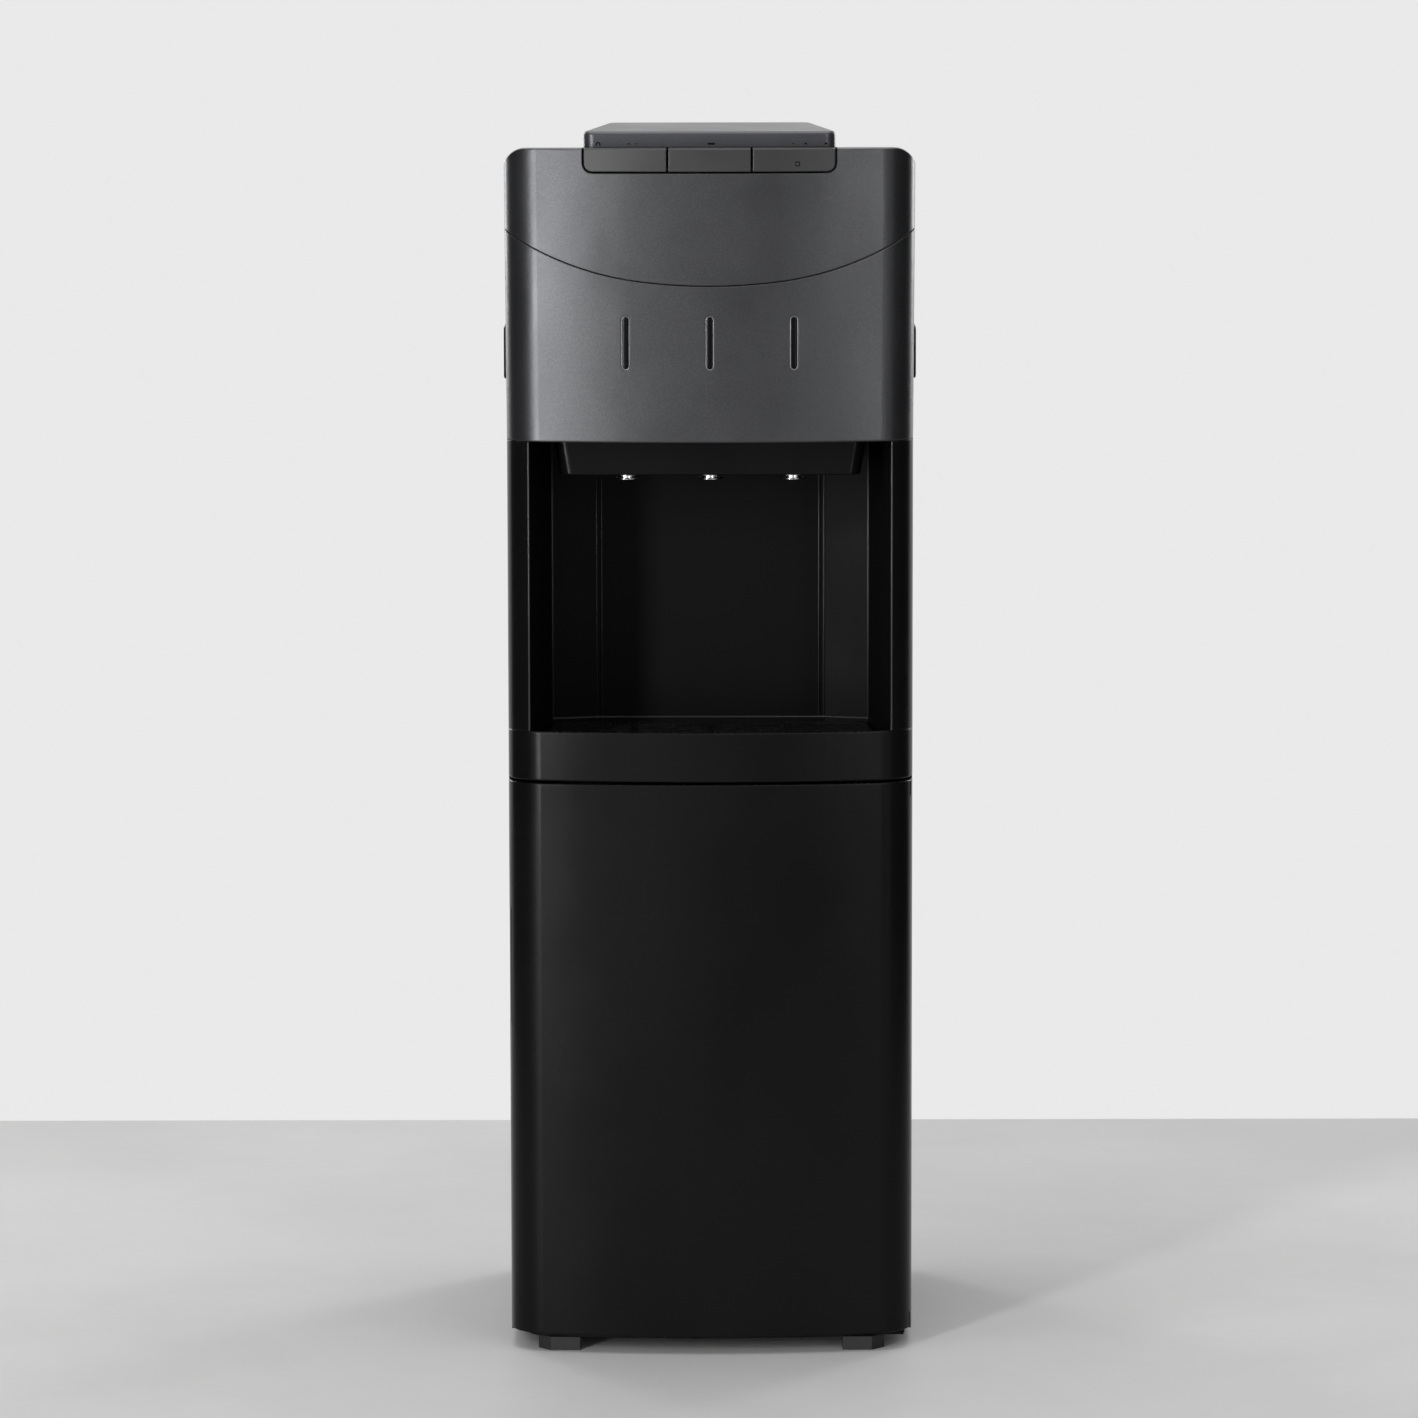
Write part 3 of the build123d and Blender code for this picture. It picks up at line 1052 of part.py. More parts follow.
def front_fascia():
    """Front of the head below the curved seam, with a floor, window slots and board posts."""
    high_z = SEAM_SIDE_Z + SEAM_LAP
    skin = round_front_edges(head_loft(0, SIDE_FRONT_Y, HEAD_BOTTOM_Z, high_z), FASCIA_EDGE_R, high=False)
    room = head_loft(HEAD_WALL, SIDE_FRONT_Y + OVER, HEAD_BOTTOM_Z, high_z + OVER)
    skin = skin - (room & block((-BODY_W, BODY_W), (FRONT_Y, SIDE_FRONT_Y + OVER),
                                (HEAD_BOTTOM_Z + HEAD_WALL, high_z + OVER)))
    skin = skin & seam_prism(-SEAM_GAP / 2, False, SIDE_FRONT_Y + OVER)
    skin = skin + block(around(0, NICHE_HALF_FRONT - FASCIA_LIP_IN),
                        (SIDE_FRONT_Y - OVER, SIDE_FRONT_Y + FASCIA_LIP),
                        (HEAD_BOTTOM_Z, HEAD_BOTTOM_Z + HEAD_WALL))
    post_x = STATION_PITCH + BOARD_POST_PAST
    for x in (-post_x, post_x):
        for z in around(WINDOW_MID_Z, BOARD_POST_UP):
            skin = skin + rod(BOARD_POST_R, (x, skin_y(x, HEAD_WALL / 2), z), (x, BOARD_Y, z))
    for x in STATIONS.values():
        skin = skin - window_slot(x, 0.0, FRONT_Y - OVER, BOARD_Y + OVER)
    return skin


def indicator_lens(x):
    """One light window: a clear bar from the board to just inside the front skin."""
    bar = window_slot(x, -RUN_FIT, FRONT_Y - OVER, BOARD_Y)
    return bar & head_loft(WINDOW_RECESS, SIDE_FRONT_Y, *around(WINDOW_MID_Z, WINDOW_H))


def on_board(xs, up, thick):
    """A part on the back of the control board."""
    back_y = BOARD_Y + BOARD_T
    return block(xs, (back_y, back_y + thick), (WINDOW_MID_Z + up[0], WINDOW_MID_Z + up[1]))


def control_board():
    """Circuit board behind the windows, with a processor and a relay on its back."""
    board = block(around(0, STATION_PITCH + BOARD_PAST), (BOARD_Y, BOARD_Y + BOARD_T),
                  around(WINDOW_MID_Z, BOARD_HALF_H))
    return board + on_board(CHIP_XS, CHIP_UP, CHIP_T) + on_board(RELAY_XS, RELAY_UP, RELAY_T)


def crown_body(inset, low_z, back_y):
    """The crown as a solid: the head's plan under its round-cornered top, sloping to the back."""
    top_z = CROWN_TOP_Z - inset
    below_z = low_z - OVER
    level = front_prism(crown_outline(inset, top_z, below_z), FRONT_Y - OVER, KEY_BACK_Y)
    near = front_plane(KEY_BACK_Y) * crown_outline(inset, top_z, below_z)
    far = front_plane(REAR_Y) * crown_outline(inset, top_z - CROWN_REAR_DROP, below_z)
    return head_loft(inset, back_y, low_z, CROWN_TOP_Z) & (level + loft([near, far]))


def key_group_face(grow):
    """The three keys together in the front view, with round lower corners."""
    half = KEY_GROUP_HALF - KEY_GAP / 2 + grow
    low = KEY_BOTTOM_Z - grow
    r = KEY_END_R + grow
    high = CROWN_TOP_Z + KEY_END_R
    return Face(Wire([
        Line((-half, high), (-half, low + r)),
        corner_arc((-half, low + r), (-half + r, low), (-half + r, low + r), r),
        Line((-half + r, low), (half - r, low)),
        corner_arc((half - r, low), (half, low + r), (half - r, low + r), r),
        Line((half, low + r), (half, high)),
        Line((half, high), (-half, high)),
    ]))


def well(half_w, back_y):
    """A block over the key pocket, from the front back to back_y."""
    return block((-half_w, half_w), (FRONT_Y, back_y), (POCKET_Z - HEAD_WALL, CROWN_TOP_Z + OVER))


def on_top_front(edge):
    """Whether an edge of the crown lies on its level top before the keys' back."""
    return edge.center().Z > CROWN_TOP_Z - FIT and edge.center().Y < KEY_BACK_Y - OVER


def crown_cover():
    """Top and upper front of the head, with the pocket that the keys sit in."""
    low_z = SEAM_MID_Z - SEAM_LAP
    outer = crown_body(0, low_z, REAR_Y)
    outer = fillet(outer.edges().filter_by(on_top_front), CROWN_EDGE_R)
    shell = outer - crown_body(HEAD_WALL, low_z - OVER, REAR_Y - HEAD_WALL)
    behind = block((-BODY_W, BODY_W), (SIDE_FRONT_Y, REAR_Y + OVER), (SEAM_SIDE_Z, CROWN_TOP_Z + OVER))
    shell = (shell & seam_prism(SEAM_GAP / 2, True, SIDE_FRONT_Y)) + (shell & behind)
    pocket_half = KEY_GROUP_HALF + KEY_GAP / 2
    pan_back_y = POCKET_BACK_Y + HEAD_WALL
    pan = prism(plan_face(HEAD_WALL / 2, pan_back_y), POCKET_Z - HEAD_WALL, CROWN_TOP_Z)
    pan = pan & (well(pocket_half + HEAD_WALL, KEY_BACK_Y + HEAD_WALL)
                 + well(AXLE_HALF + HEAD_WALL, pan_back_y))
    room = prism(plan_face(HEAD_WALL, POCKET_BACK_Y + OVER), POCKET_Z, CROWN_TOP_Z + OVER)
    room = room & (well(pocket_half, KEY_BACK_Y) + well(AXLE_HALF, POCKET_BACK_Y))
    crown = shell + (pan & outer) - room
    crown = crown - front_prism(key_group_face(KEY_GAP), FRONT_Y - OVER, KEY_BACK_Y)
    for x in (-STATION_PITCH / 2, STATION_PITCH / 2):
        crown = crown + block(around(x, EAR_T / 2), around(AXLE_Y, EAR_HALF_D), (POCKET_Z, AXLE_Z + EAR_UP))
    bore_end = AXLE_END_X + AXLE_END_FIT
    return crown - rod(KEY_AXLE_R + RUN_FIT, (-bore_end, AXLE_Y, AXLE_Z), (bore_end, AXLE_Y, AXLE_Z))


def pod_body(inset):
    """The raised hood as a solid, drawn in by inset: a plan narrower at the back under a rising top."""
    front, back = KEY_BACK_Y + inset, KEY_BACK_Y + POD_DEPTH - inset
    near = KEY_GROUP_HALF + POD_SIDE_OUT - inset
    far = near - POD_BACK_NARROWER
    corners = [(-near, front, 0), (near, front, 0), (far, back, 0), (-far, back, 0)]
    plan = Face(Wire.make_polygon(corners, close=True))
    plan = fillet(plan.vertices(), POD_CORNER_R - inset)
    rise = prism(plan, CROWN_TOP_Z - CROWN_REAR_DROP, CROWN_TOP_Z + 2 * POD_BACK_UP)
    side = [(KEY_BACK_Y, CROWN_TOP_Z), (KEY_BACK_Y, CROWN_TOP_Z + POD_FRONT_UP - inset),
            (KEY_BACK_Y + POD_DEPTH, CROWN_TOP_Z + POD_BACK_UP - inset),
            (KEY_BACK_Y + POD_DEPTH, CROWN_TOP_Z - POD_DEPTH * CROWN_REAR_DROP / (REAR_Y - KEY_BACK_Y))]
    wedge = extrude(Face(Wire.make_polygon([(-HALF_W, y, z) for y, z in side], close=True)),
                    amount=BODY_W, dir=(1, 0, 0))
    return rise & wedge


def console_pod():
    """Raised hood behind the keys that covers their axle."""
    outer = pod_body(0)
    outer = fillet(outer.faces().sort_by(Axis.Z)[-1].edges(), POD_EDGE_R)
    return outer - pod_body(POD_WALL)


def front_key(x):
    """One key: a bowed cap with arms that reach back to the axle under the hood."""
    half = STATION_PITCH / 2 - KEY_GAP / 2
    back = KEY_BACK_Y - KEY_GAP / 2
    limits = block(around(x, half), (FRONT_Y - OVER, back), (KEY_BOTTOM_Z, CROWN_TOP_Z))
    low_z = KEY_BOTTOM_Z - KEY_WALL
    outer = head_loft(0, SIDE_FRONT_Y, low_z, CROWN_TOP_Z) & limits
    outer = outer & front_prism(key_group_face(0), FRONT_Y - OVER, back)
    front_edges = outer.edges().filter_by(lambda edge: edge.center().Y < KEY_BACK_Y - KEY_DEPTH / 2)
    outer = fillet(front_edges, KEY_EDGE_R)
    hollow = block(around(x, half - KEY_WALL), (FRONT_Y - OVER, back + OVER),
                   (KEY_BOTTOM_Z - OVER, CROWN_TOP_Z - KEY_WALL))
    hollow = hollow & head_loft(KEY_WALL, SIDE_FRONT_Y, low_z, CROWN_TOP_Z)
    hollow = hollow & front_prism(key_group_face(-KEY_WALL), FRONT_Y - OVER, back + OVER)
    cap = outer - hollow
    root_top_z = CROWN_TOP_Z - KEY_WALL / 2
    arm_zs = around(AXLE_Z, KEY_ARM_H / 2)
    for side in (-KEY_ARM_X, KEY_ARM_X):
        xs = around(x + side, KEY_ARM_W / 2)
        cap = cap + block(xs, (back - KEY_ARM_ROOT, back), (arm_zs[0], root_top_z))
        cap = cap + block(xs, (back - KEY_ARM_ROOT, AXLE_Y), arm_zs)
        cap = cap + rod(KEY_AXLE_R + KEY_AXLE_EYE, (xs[0], AXLE_Y, AXLE_Z), (xs[1], AXLE_Y, AXLE_Z))
    cap = cap + upright(KEY_PLUNGER_R, x, DOME_Y, DOME_TOP_Z + FIT, root_top_z)
    return cap - rod(KEY_AXLE_R + RUN_FIT, (x - half, AXLE_Y, AXLE_Z), (x + half, AXLE_Y, AXLE_Z))


def key_axle():
    """Steel axle that all three keys rock on."""
    return rod(KEY_AXLE_R, (-AXLE_END_X, AXLE_Y, AXLE_Z), (AXLE_END_X, AXLE_Y, AXLE_Z))


def key_board():
    """Contact board on the floor of the key pocket."""
    return block(around(0, KEY_BOARD_HALF), (DOME_Y - KEY_BOARD_FRONT, DOME_Y + KEY_BOARD_REAR),
                 (POCKET_Z, POCKET_Z + BOARD_T))


def key_dome(x):
    """Rubber dome that presses the contact and lifts the key again."""
    low_z = POCKET_Z + BOARD_T
    height = DOME_TOP_Z - low_z
    foot = Plane((x, DOME_Y, low_z))
    outer = Solid.make_cone(DOME_R, DOME_TOP_R, height, foot)
    return outer - Solid.make_cone(DOME_R - DOME_WALL, DOME_ROOM_TOP_R, height - DOME_TOP_T, foot)


# ================================================================ water and cooling parts
def cold_tank():
    """Open-topped cold reservoir."""
    return (upright(COLD_R, COLD_X, TANK_Y, FOAM_TOP_Z, COLD_RIM_Z)
            - upright(COLD_R - TANK_WALL, COLD_X, TANK_Y, FOAM_TOP_Z + TANK_WALL, COLD_RIM_Z + OVER))


def cold_tank_lid():
    """Lid of the cold reservoir, with a spigot that sits inside its mouth."""
    lid = upright(COLD_R + LID_LAP, COLD_X, TANK_Y, COLD_RIM_Z, COLD_RIM_Z + LID_T)
    spigot_r = COLD_R - TANK_WALL - FIT
    return lid + ring(spigot_r, spigot_r - LID_SPIGOT_T, (COLD_X, TANK_Y, COLD_RIM_Z - LID_SPIGOT_H),
                      (COLD_X, TANK_Y, COLD_RIM_Z + LID_T / 2))


def hot_tank():
    """Closed hot tank with rounded ends."""
    body = fillet(upright(HOT_R, HOT_X, TANK_Y, FOAM_TOP_Z, HOT_TOP_Z).edges(), TANK_ROUND)
    room = upright(HOT_R - TANK_WALL, HOT_X, TANK_Y, FOAM_TOP_Z + TANK_WALL, HOT_TOP_Z - TANK_WALL)
    return body - fillet(room.edges(), TANK_ROUND - TANK_WALL)


def hot_tank_heater():
    """Band heater round the hot tank and the thermostat disc on its top."""
    mid_z = (FOAM_TOP_Z + HOT_TOP_Z) / 2
    band = ring(HOT_R + HEATER_T, HOT_R, (HOT_X, TANK_Y, mid_z), (HOT_X, TANK_Y, mid_z + HEATER_H))
    nut_z = HOT_TOP_Z + THERMOSTAT_H
    disc = upright(THERMOSTAT_R, HOT_X, TANK_Y, HOT_TOP_Z, nut_z)
    return group(band, disc + upright(THERMOSTAT_NUT_R, HOT_X, TANK_Y, nut_z, nut_z + THERMOSTAT_NUT_H))


def link_line(radius):
    """Straight line between the two tanks."""
    return rod(radius, (COLD_X + COLD_R, TANK_Y, LINK_Z), (HOT_X - HOT_R, TANK_Y, LINK_Z))


def valve_line(x, far_y, radius):
    """Straight line from a valve back towards its tank."""
    return rod(radius, (x, BRACKET_Y, VALVE_LINE_Z), (x, far_y, VALVE_LINE_Z))


def tank_front_y(x, tank_x, radius):
    """Y where a line at x first meets the front of a round tank."""
    aside = max(0.0, abs(x - tank_x) - LINE_R)
    return TANK_Y - sqrt(radius ** 2 - aside ** 2)


def foam_cup(x, inner_r, high_z):
    """Foam jacket: a thick cup round a tank, with cuts where its lines pass."""
    cup = upright(inner_r + FOAM_T, x, TANK_Y, TANK_DECK_TOP_Z, high_z)
    cup = cup - upright(inner_r, x, TANK_Y, FOAM_TOP_Z, high_z + OVER)
    for station_x in STATIONS.values():
        cup = cup - valve_line(station_x, TANK_Y, LINE_R + FIT)
    return cup - rod(LINE_R + FIT, (COLD_X, TANK_Y, LINK_Z), (HOT_X, TANK_Y, LINK_Z))


def compressor():
    """Hermetic compressor: a domed steel shell on a foot plate, with its terminal box."""
    x, y, foot_z = COMPRESSOR_X, COMPRESSOR_Y, COMPRESSOR_FOOT_Z
    shell = upright(COMPRESSOR_R, x, y, foot_z + COMPRESSOR_LIFT, COMPRESSOR_TOP_Z)
    shell = fillet(shell.edges().filter_by(GeomType.CIRCLE), COMPRESSOR_ROUND)
    weld_z = foot_z + WELD_UP
    shell = shell + ring(COMPRESSOR_R + WELD_PROUD, COMPRESSOR_R - WELD_PROUD,
                         (x, y, weld_z), (x, y, weld_z + WELD_T))
    foot = block(around(x, COMPRESSOR_FOOT_X + COMPRESSOR_FOOT_EDGE),
                 around(y, COMPRESSOR_FOOT_Y + COMPRESSOR_FOOT_EDGE), (foot_z, foot_z + COMPRESSOR_FOOT_T))
    terminals = block((TERMINAL_X, TERMINAL_X + TERMINAL_W), around(y, TERMINAL_HALF_D),
                      (TERMINAL_Z, TERMINAL_Z + TERMINAL_H))
    return shell + foot + terminals


def compressor_grommets():
    """Four rubber feet between the compressor and the deck."""
    return group(*[ring(GROMMET_R, GROMMET_BORE_R, (x, y, DECK_TOP_Z), (x, y, COMPRESSOR_FOOT_Z))
                   for x in around(COMPRESSOR_X, COMPRESSOR_FOOT_X)
                   for y in around(COMPRESSOR_Y, COMPRESSOR_FOOT_Y)])


def condenser_tube():
    """The condenser's tube: in through the rear panel, up, down in level runs, and in again."""
    y = CONDENSER_TUBE_Y
    points = [(CONDENSER_RISER_X, INSIDE_LINE_Y, CONDENSER_IN_Z), (CONDENSER_RISER_X, y, CONDENSER_IN_Z),
              (CONDENSER_RISER_X, y, CONDENSER_TOP_Z)]
    for run in range(CONDENSER_RUNS):
        z = CONDENSER_TOP_Z - run * CONDENSER_PITCH
        turn = CONDENSER_HALF_W if run % 2 == 0 else -CONDENSER_HALF_W
        if run > 0:
            points.append((turn, y, z))
        if run < CONDENSER_RUNS - 1:
            points.append((-turn, y, z))
    points += [(-CONDENSER_RISER_X, y, CONDENSER_LOW_Z), (-CONDENSER_RISER_X, INSIDE_LINE_Y, CONDENSER_LOW_Z)]
    turns = [CONDENSER_TURN_R] * (2 * (CONDENSER_RUNS - 1))
    return bent_tube(points, CONDENSER_TUBE_R, [LINE_BEND, LINE_BEND] + turns + [LINE_BEND])


def condenser():
    """Condenser on the back: one tube, upright wires welded on both sides and four tabs."""
    body = condenser_tube()
    wire_xs = around(0, CONDENSER_HALF_W - CONDENSER_WIRE_IN)
    reach = CONDENSER_TUBE_R + CONDENSER_WIRE_R - WELD_BITE
    wires = [upright(CONDENSER_WIRE_R, x, y, CONDENSER_LOW_Z - CONDENSER_WIRE_PAST,
                     CONDENSER_TOP_Z + CONDENSER_WIRE_PAST)
             for x in spaced(*wire_xs, CONDENSER_WIRES) for y in around(CONDENSER_TUBE_Y, reach)]
    body = body + wires
    tab_ys = (REAR_Y, CONDENSER_TUBE_Y - CONDENSER_TUBE_R)
    for x in wire_xs:
        for z in (CONDENSER_LOW_Z + CONDENSER_PITCH / 2, CONDENSER_TOP_Z - CONDENSER_PITCH / 2):
            body = body + block(around(x, CONDENSER_TAB_HALF_W), tab_ys, around(z, CONDENSER_TAB_HALF_H))
    return body


def refrigerant_lines():
    """Discharge, suction and liquid lines, the last one through its filter drier."""
    start_x, over_z = COMPRESSOR_X + DISCHARGE_X, COMPRESSOR_TOP_Z + DISCHARGE_UP
    turn_a, turn_b = (REAR_Y - depth for depth in DISCHARGE_TURN_INS)
    discharge = bent_tube([(start_x, COMPRESSOR_Y, COMPRESSOR_TOP_Z), (start_x, COMPRESSOR_Y, over_z),
                           (DISCHARGE_TURN_X, turn_a, over_z), (CONDENSER_RISER_X, turn_b, CONDENSER_IN_Z),
                           (CONDENSER_RISER_X, INSIDE_LINE_Y, CONDENSER_IN_Z)], CONDENSER_TUBE_R, LINE_BEND)
    suction = upright(LINE_R, *SUCTION_AT, COMPRESSOR_TOP_Z, TANK_DECK_TOP_Z)
    x, y = -CONDENSER_RISER_X, REAR_Y - LIQUID_IN
    turn_a, turn_b = (HEAD_BOTTOM_Z - down for down in LIQUID_TURN_DOWNS)
    liquid = bent_tube([(x, INSIDE_LINE_Y, CONDENSER_LOW_Z), (x, y, CONDENSER_LOW_Z), (x, y, turn_a),
                        (*LIQUID_AT, turn_b), (*LIQUID_AT, TANK_DECK_TOP_Z)], CONDENSER_TUBE_R, LIQUID_BEND)
    drier = upright(DRIER_R, x, y, *[DECK_TOP_Z + up for up in DRIER_UP])
    return group(discharge, suction, liquid + fillet(drier.edges(), DRIER_ROUND))


def water_pump():
    """Small pump lying on the deck in a saddle, with its suction stub down and outlet up."""
    body = rod(PUMP_R, (PUMP_X - PUMP_L / 2, PUMP_Y, PUMP_MID_Z), (PUMP_X + PUMP_L / 2, PUMP_Y, PUMP_MID_Z))
    body = fillet(body.edges().filter_by(GeomType.CIRCLE), PUMP_ROUND)
    saddle_zs = (DECK_TOP_Z, PUMP_MID_Z - SADDLE_DOWN)
    saddle = block([PUMP_X + x for x in SADDLE_XS], around(PUMP_Y, PUMP_R), saddle_zs)
    inlet = upright(HOSE_R - RUN_FIT, PUMP_IN_X, PUMP_Y, DECK_TOP_Z, PUMP_MID_Z)
    outlet = upright(DRAIN_LINE_R, PUMP_OUT_X, PUMP_Y, PUMP_MID_Z, PUMP_OUT_Z)
    return body + saddle + inlet + outlet


def water_lines():
    """Lines between the pump, the tanks, the valves and the spouts, and the drain."""
    lid_z = COLD_RIM_Z + LID_T
    lead_z, top_z = PUMP_OUT_Z + RISER_LEAD, lid_z + RISER_UP
    lid_at = (COLD_X + LID_LINE_X, TANK_Y + LID_LINE_Y)
    riser = bent_tube([(PUMP_OUT_X, PUMP_Y, PUMP_OUT_Z), (PUMP_OUT_X, PUMP_Y, lead_z),
                       (0, INSIDE_LINE_Y, lead_z + RISER_LEAD), (0, INSIDE_LINE_Y, top_z),
                       (*lid_at, top_z), (*lid_at, lid_z)], LINE_R, LINE_BEND)
    plain = valve_line(0, INSIDE_LINE_Y, LINE_R)
    cold = valve_line(STATIONS["left"], tank_front_y(STATIONS["left"], COLD_X, COLD_R), LINE_R)
    hot = valve_line(STATIONS["right"], tank_front_y(STATIONS["right"], HOT_X, HOT_R), LINE_R)
    y = REAR_Y - DRAIN_LINE_IN
    turn_a, turn_b = (HEAD_BOTTOM_Z - down for down in DRAIN_TURN_DOWNS)
    drain = bent_tube([(DRAIN_X, REAR_Y - DRAIN_DEEP, DRAIN_Z), (DRAIN_X, y, DRAIN_Z), (DRAIN_X, y, turn_a),
                       (*DRAIN_TOP_AT, turn_b), (*DRAIN_TOP_AT, TANK_DECK_TOP_Z)], DRAIN_LINE_R, DRAIN_BEND)
    hoses = [spout_hose(x) for x in STATIONS.values()]
    return group(riser + plain, cold, hot, link_line(LINE_R), drain, *hoses)


def wiring():
    """Mains lead up to the compressor's terminals, a lead on to the switches and a board ribbon."""
    lead_x = COMPRESSOR_X + TERMINAL_LEAD_X
    box_back_y, lead_z = COMPRESSOR_Y + TERMINAL_HALF_D, TERMINAL_Z + TERMINAL_LEAD_UP
    mains = bent_tube([(*MAINS_LEAD_AT, INLET_Z + INLET_HALF_H - FIT), (*MAINS_LEAD_AT, lead_z),
                       (lead_x, LEAD_Y, lead_z), (lead_x, box_back_y, lead_z)], LEAD_R, LEAD_BEND)
    level_z = TANK_DECK_TOP_Z + SWITCH_LEAD_UP
    switch = bent_tube([(*SWITCH_LEAD_AT, TERMINAL_Z + TERMINAL_H), (*SWITCH_LEAD_AT, level_z),
                        (SWITCH_LEAD_AT[0], LEAD_Y, level_z), (SWITCH_X, LEAD_Y, level_z),
                        (SWITCH_X, LEAD_Y, SWITCH_MID_Z - SWITCH_HALF_H + FIT)], LEAD_R, LEAD_BEND)
    ribbon = block(around(0, RIBBON_HALF_W), (BOARD_Y, BOARD_Y + RIBBON_T),
                   (WINDOW_MID_Z + BOARD_HALF_H, POCKET_Z - HEAD_WALL))
    return group(mains, switch, ribbon)


# ================================================================ bottle bay
def bottle_probe():
    """Suction probe that goes into the bottle: a long tube, a neck cap and a hose nipple."""
    top = PROBE_TOP_Z
    body = upright(PROBE_R, PROBE_X, PROBE_Y, top - PROBE_L, top)
    cap = upright(PROBE_CAP_R, PROBE_X, PROBE_Y, top - PROBE_CAP_H, top)
    cap = fillet(cap.edges().sort_by(Axis.Z)[-1], PROBE_CAP_ROUND)
    return body + cap + upright(HOSE_R, PROBE_X, PROBE_Y, top - OVER, top + PROBE_NIPPLE_L)


def hose_clip(along, x, y):
    """Hanger under the middle deck round the hose, which runs along the X or Y axis there."""
    half = Vector(*[HOSE_CLIP_W / 2 if axis == along else HOSE_CLIP_HALF for axis in "XY"])
    hanger = block(around(x, half.X), around(y, half.Y), (HOSE_Z - HOSE_CLIP_HALF, DECK_BOTTOM_Z))
    run = Vector(half.X + OVER, 0, 0) if along == "X" else Vector(0, half.Y + OVER, 0)
    middle = Vector(x, y, HOSE_Z)
    return hanger - rod(HOSE_R + RUN_FIT, middle - run, middle + run)


def probe_holder():
    """Shelf and lower clip on the side panel that park the probe, and the clips of its hose."""
    under_z = PROBE_TOP_Z - PROBE_CAP_H
    ys = around(PROBE_Y, HOLDER_HALF_D)
    hole_r = PROBE_R + FIT
    shelf = block((-SIDE_IN, PROBE_X + HOLDER_PAST), ys, (under_z - HOLDER_T, under_z))
    shelf = shelf + block((-SIDE_IN, -SIDE_IN + HOLDER_LEG_T), ys, (under_z - HOLDER_LEG_H, under_z))
    shelf = shelf - upright(hole_r, PROBE_X, PROBE_Y, under_z - HOLDER_T - OVER, under_z + OVER)
    clip_z = PROBE_TOP_Z - PROBE_L + CLIP_UP
    clip = block((-SIDE_IN, PROBE_X + PROBE_R + CLIP_WALL), around(PROBE_Y, PROBE_R + CLIP_WALL),
                 (clip_z, clip_z + CLIP_H))
    clip = clip - upright(hole_r, PROBE_X, PROBE_Y, clip_z - OVER, clip_z + CLIP_H + OVER)
    rear = [hose_clip("X", x, INSIDE_LINE_Y) for x in REAR_CLIP_XS]
    return group(shelf, clip, hose_clip("Y", HOSE_SIDE_X, SIDE_CLIP_Y), *rear)


def probe_hose():
    """Suction hose, clipped under the deck from the parked probe round to the pump."""
    points = [(PROBE_X, PROBE_Y, PROBE_TOP_Z + PROBE_NIPPLE_L), (PROBE_X, PROBE_Y, HOSE_Z),
              (HOSE_SIDE_X, PROBE_Y + HOSE_LEAD, HOSE_Z), (HOSE_SIDE_X, INSIDE_LINE_Y, HOSE_Z),
              (PUMP_IN_X, INSIDE_LINE_Y, HOSE_Z), (PUMP_IN_X, PUMP_Y, HOSE_Z),
              (PUMP_IN_X, PUMP_Y, DECK_TOP_Z)]
    return bent_tube(points, HOSE_R, list(HOSE_BENDS))


# ================================================================ back, feet and fasteners
def switch_plate():
    """Rear switch housing with two windows."""
    rim = block(around(SWITCH_X, SWITCH_HALF_W + SWITCH_RIM), (REAR_Y, REAR_Y + SWITCH_RIM_T),
                around(SWITCH_MID_Z, SWITCH_HALF_H + SWITCH_RIM))
    rim = fillet(rim.faces().sort_by(Axis.Y)[-1].edges(), SWITCH_EDGE_R)
    body = rim + block(around(SWITCH_X, SWITCH_HALF_W - FIT), (REAR_Y - SWITCH_DEEP, REAR_Y + OVER),
                       around(SWITCH_MID_Z, SWITCH_HALF_H - FIT))
    half = ROCKER_W / 2 + ROCKER_GAP
    pin_end = half + ROCKER_PIN_OUT
    window_ys = (REAR_Y - SWITCH_DEEP + SWITCH_FLOOR_T, REAR_Y + SWITCH_RIM_T + OVER)
    for x in ROCKER_XS:
        body = body - block(around(x, half), window_ys, around(SWITCH_MID_Z, ROCKER_R + OVER))
        body = body - rod(ROCKER_PIN_R + RUN_FIT, (x - pin_end, ROCKER_Y, SWITCH_MID_Z),
                          (x + pin_end, ROCKER_Y, SWITCH_MID_Z))
    return body


def rocker(x):
    """One rocker, thrown to its off side, on its own pin."""
    body = block(around(x, ROCKER_W / 2), (REAR_Y - ROCKER_DEEP, REAR_Y + ROCKER_PROUD),
                 around(SWITCH_MID_Z, ROCKER_R))
    dish_y = REAR_Y + ROCKER_DISH_OUT
    body = body - rod(ROCKER_DISH_R, (x - ROCKER_W, dish_y, SWITCH_MID_Z),
                      (x + ROCKER_W, dish_y, SWITCH_MID_Z))
    pin_end = ROCKER_W / 2 + ROCKER_PIN_OUT
    pin = rod(ROCKER_PIN_R, (x - pin_end, ROCKER_Y, SWITCH_MID_Z), (x + pin_end, ROCKER_Y, SWITCH_MID_Z))
    return (body + pin).rotate(Axis((x, ROCKER_Y, SWITCH_MID_Z), (1, 0, 0)), -ROCKER_THROW / 2)


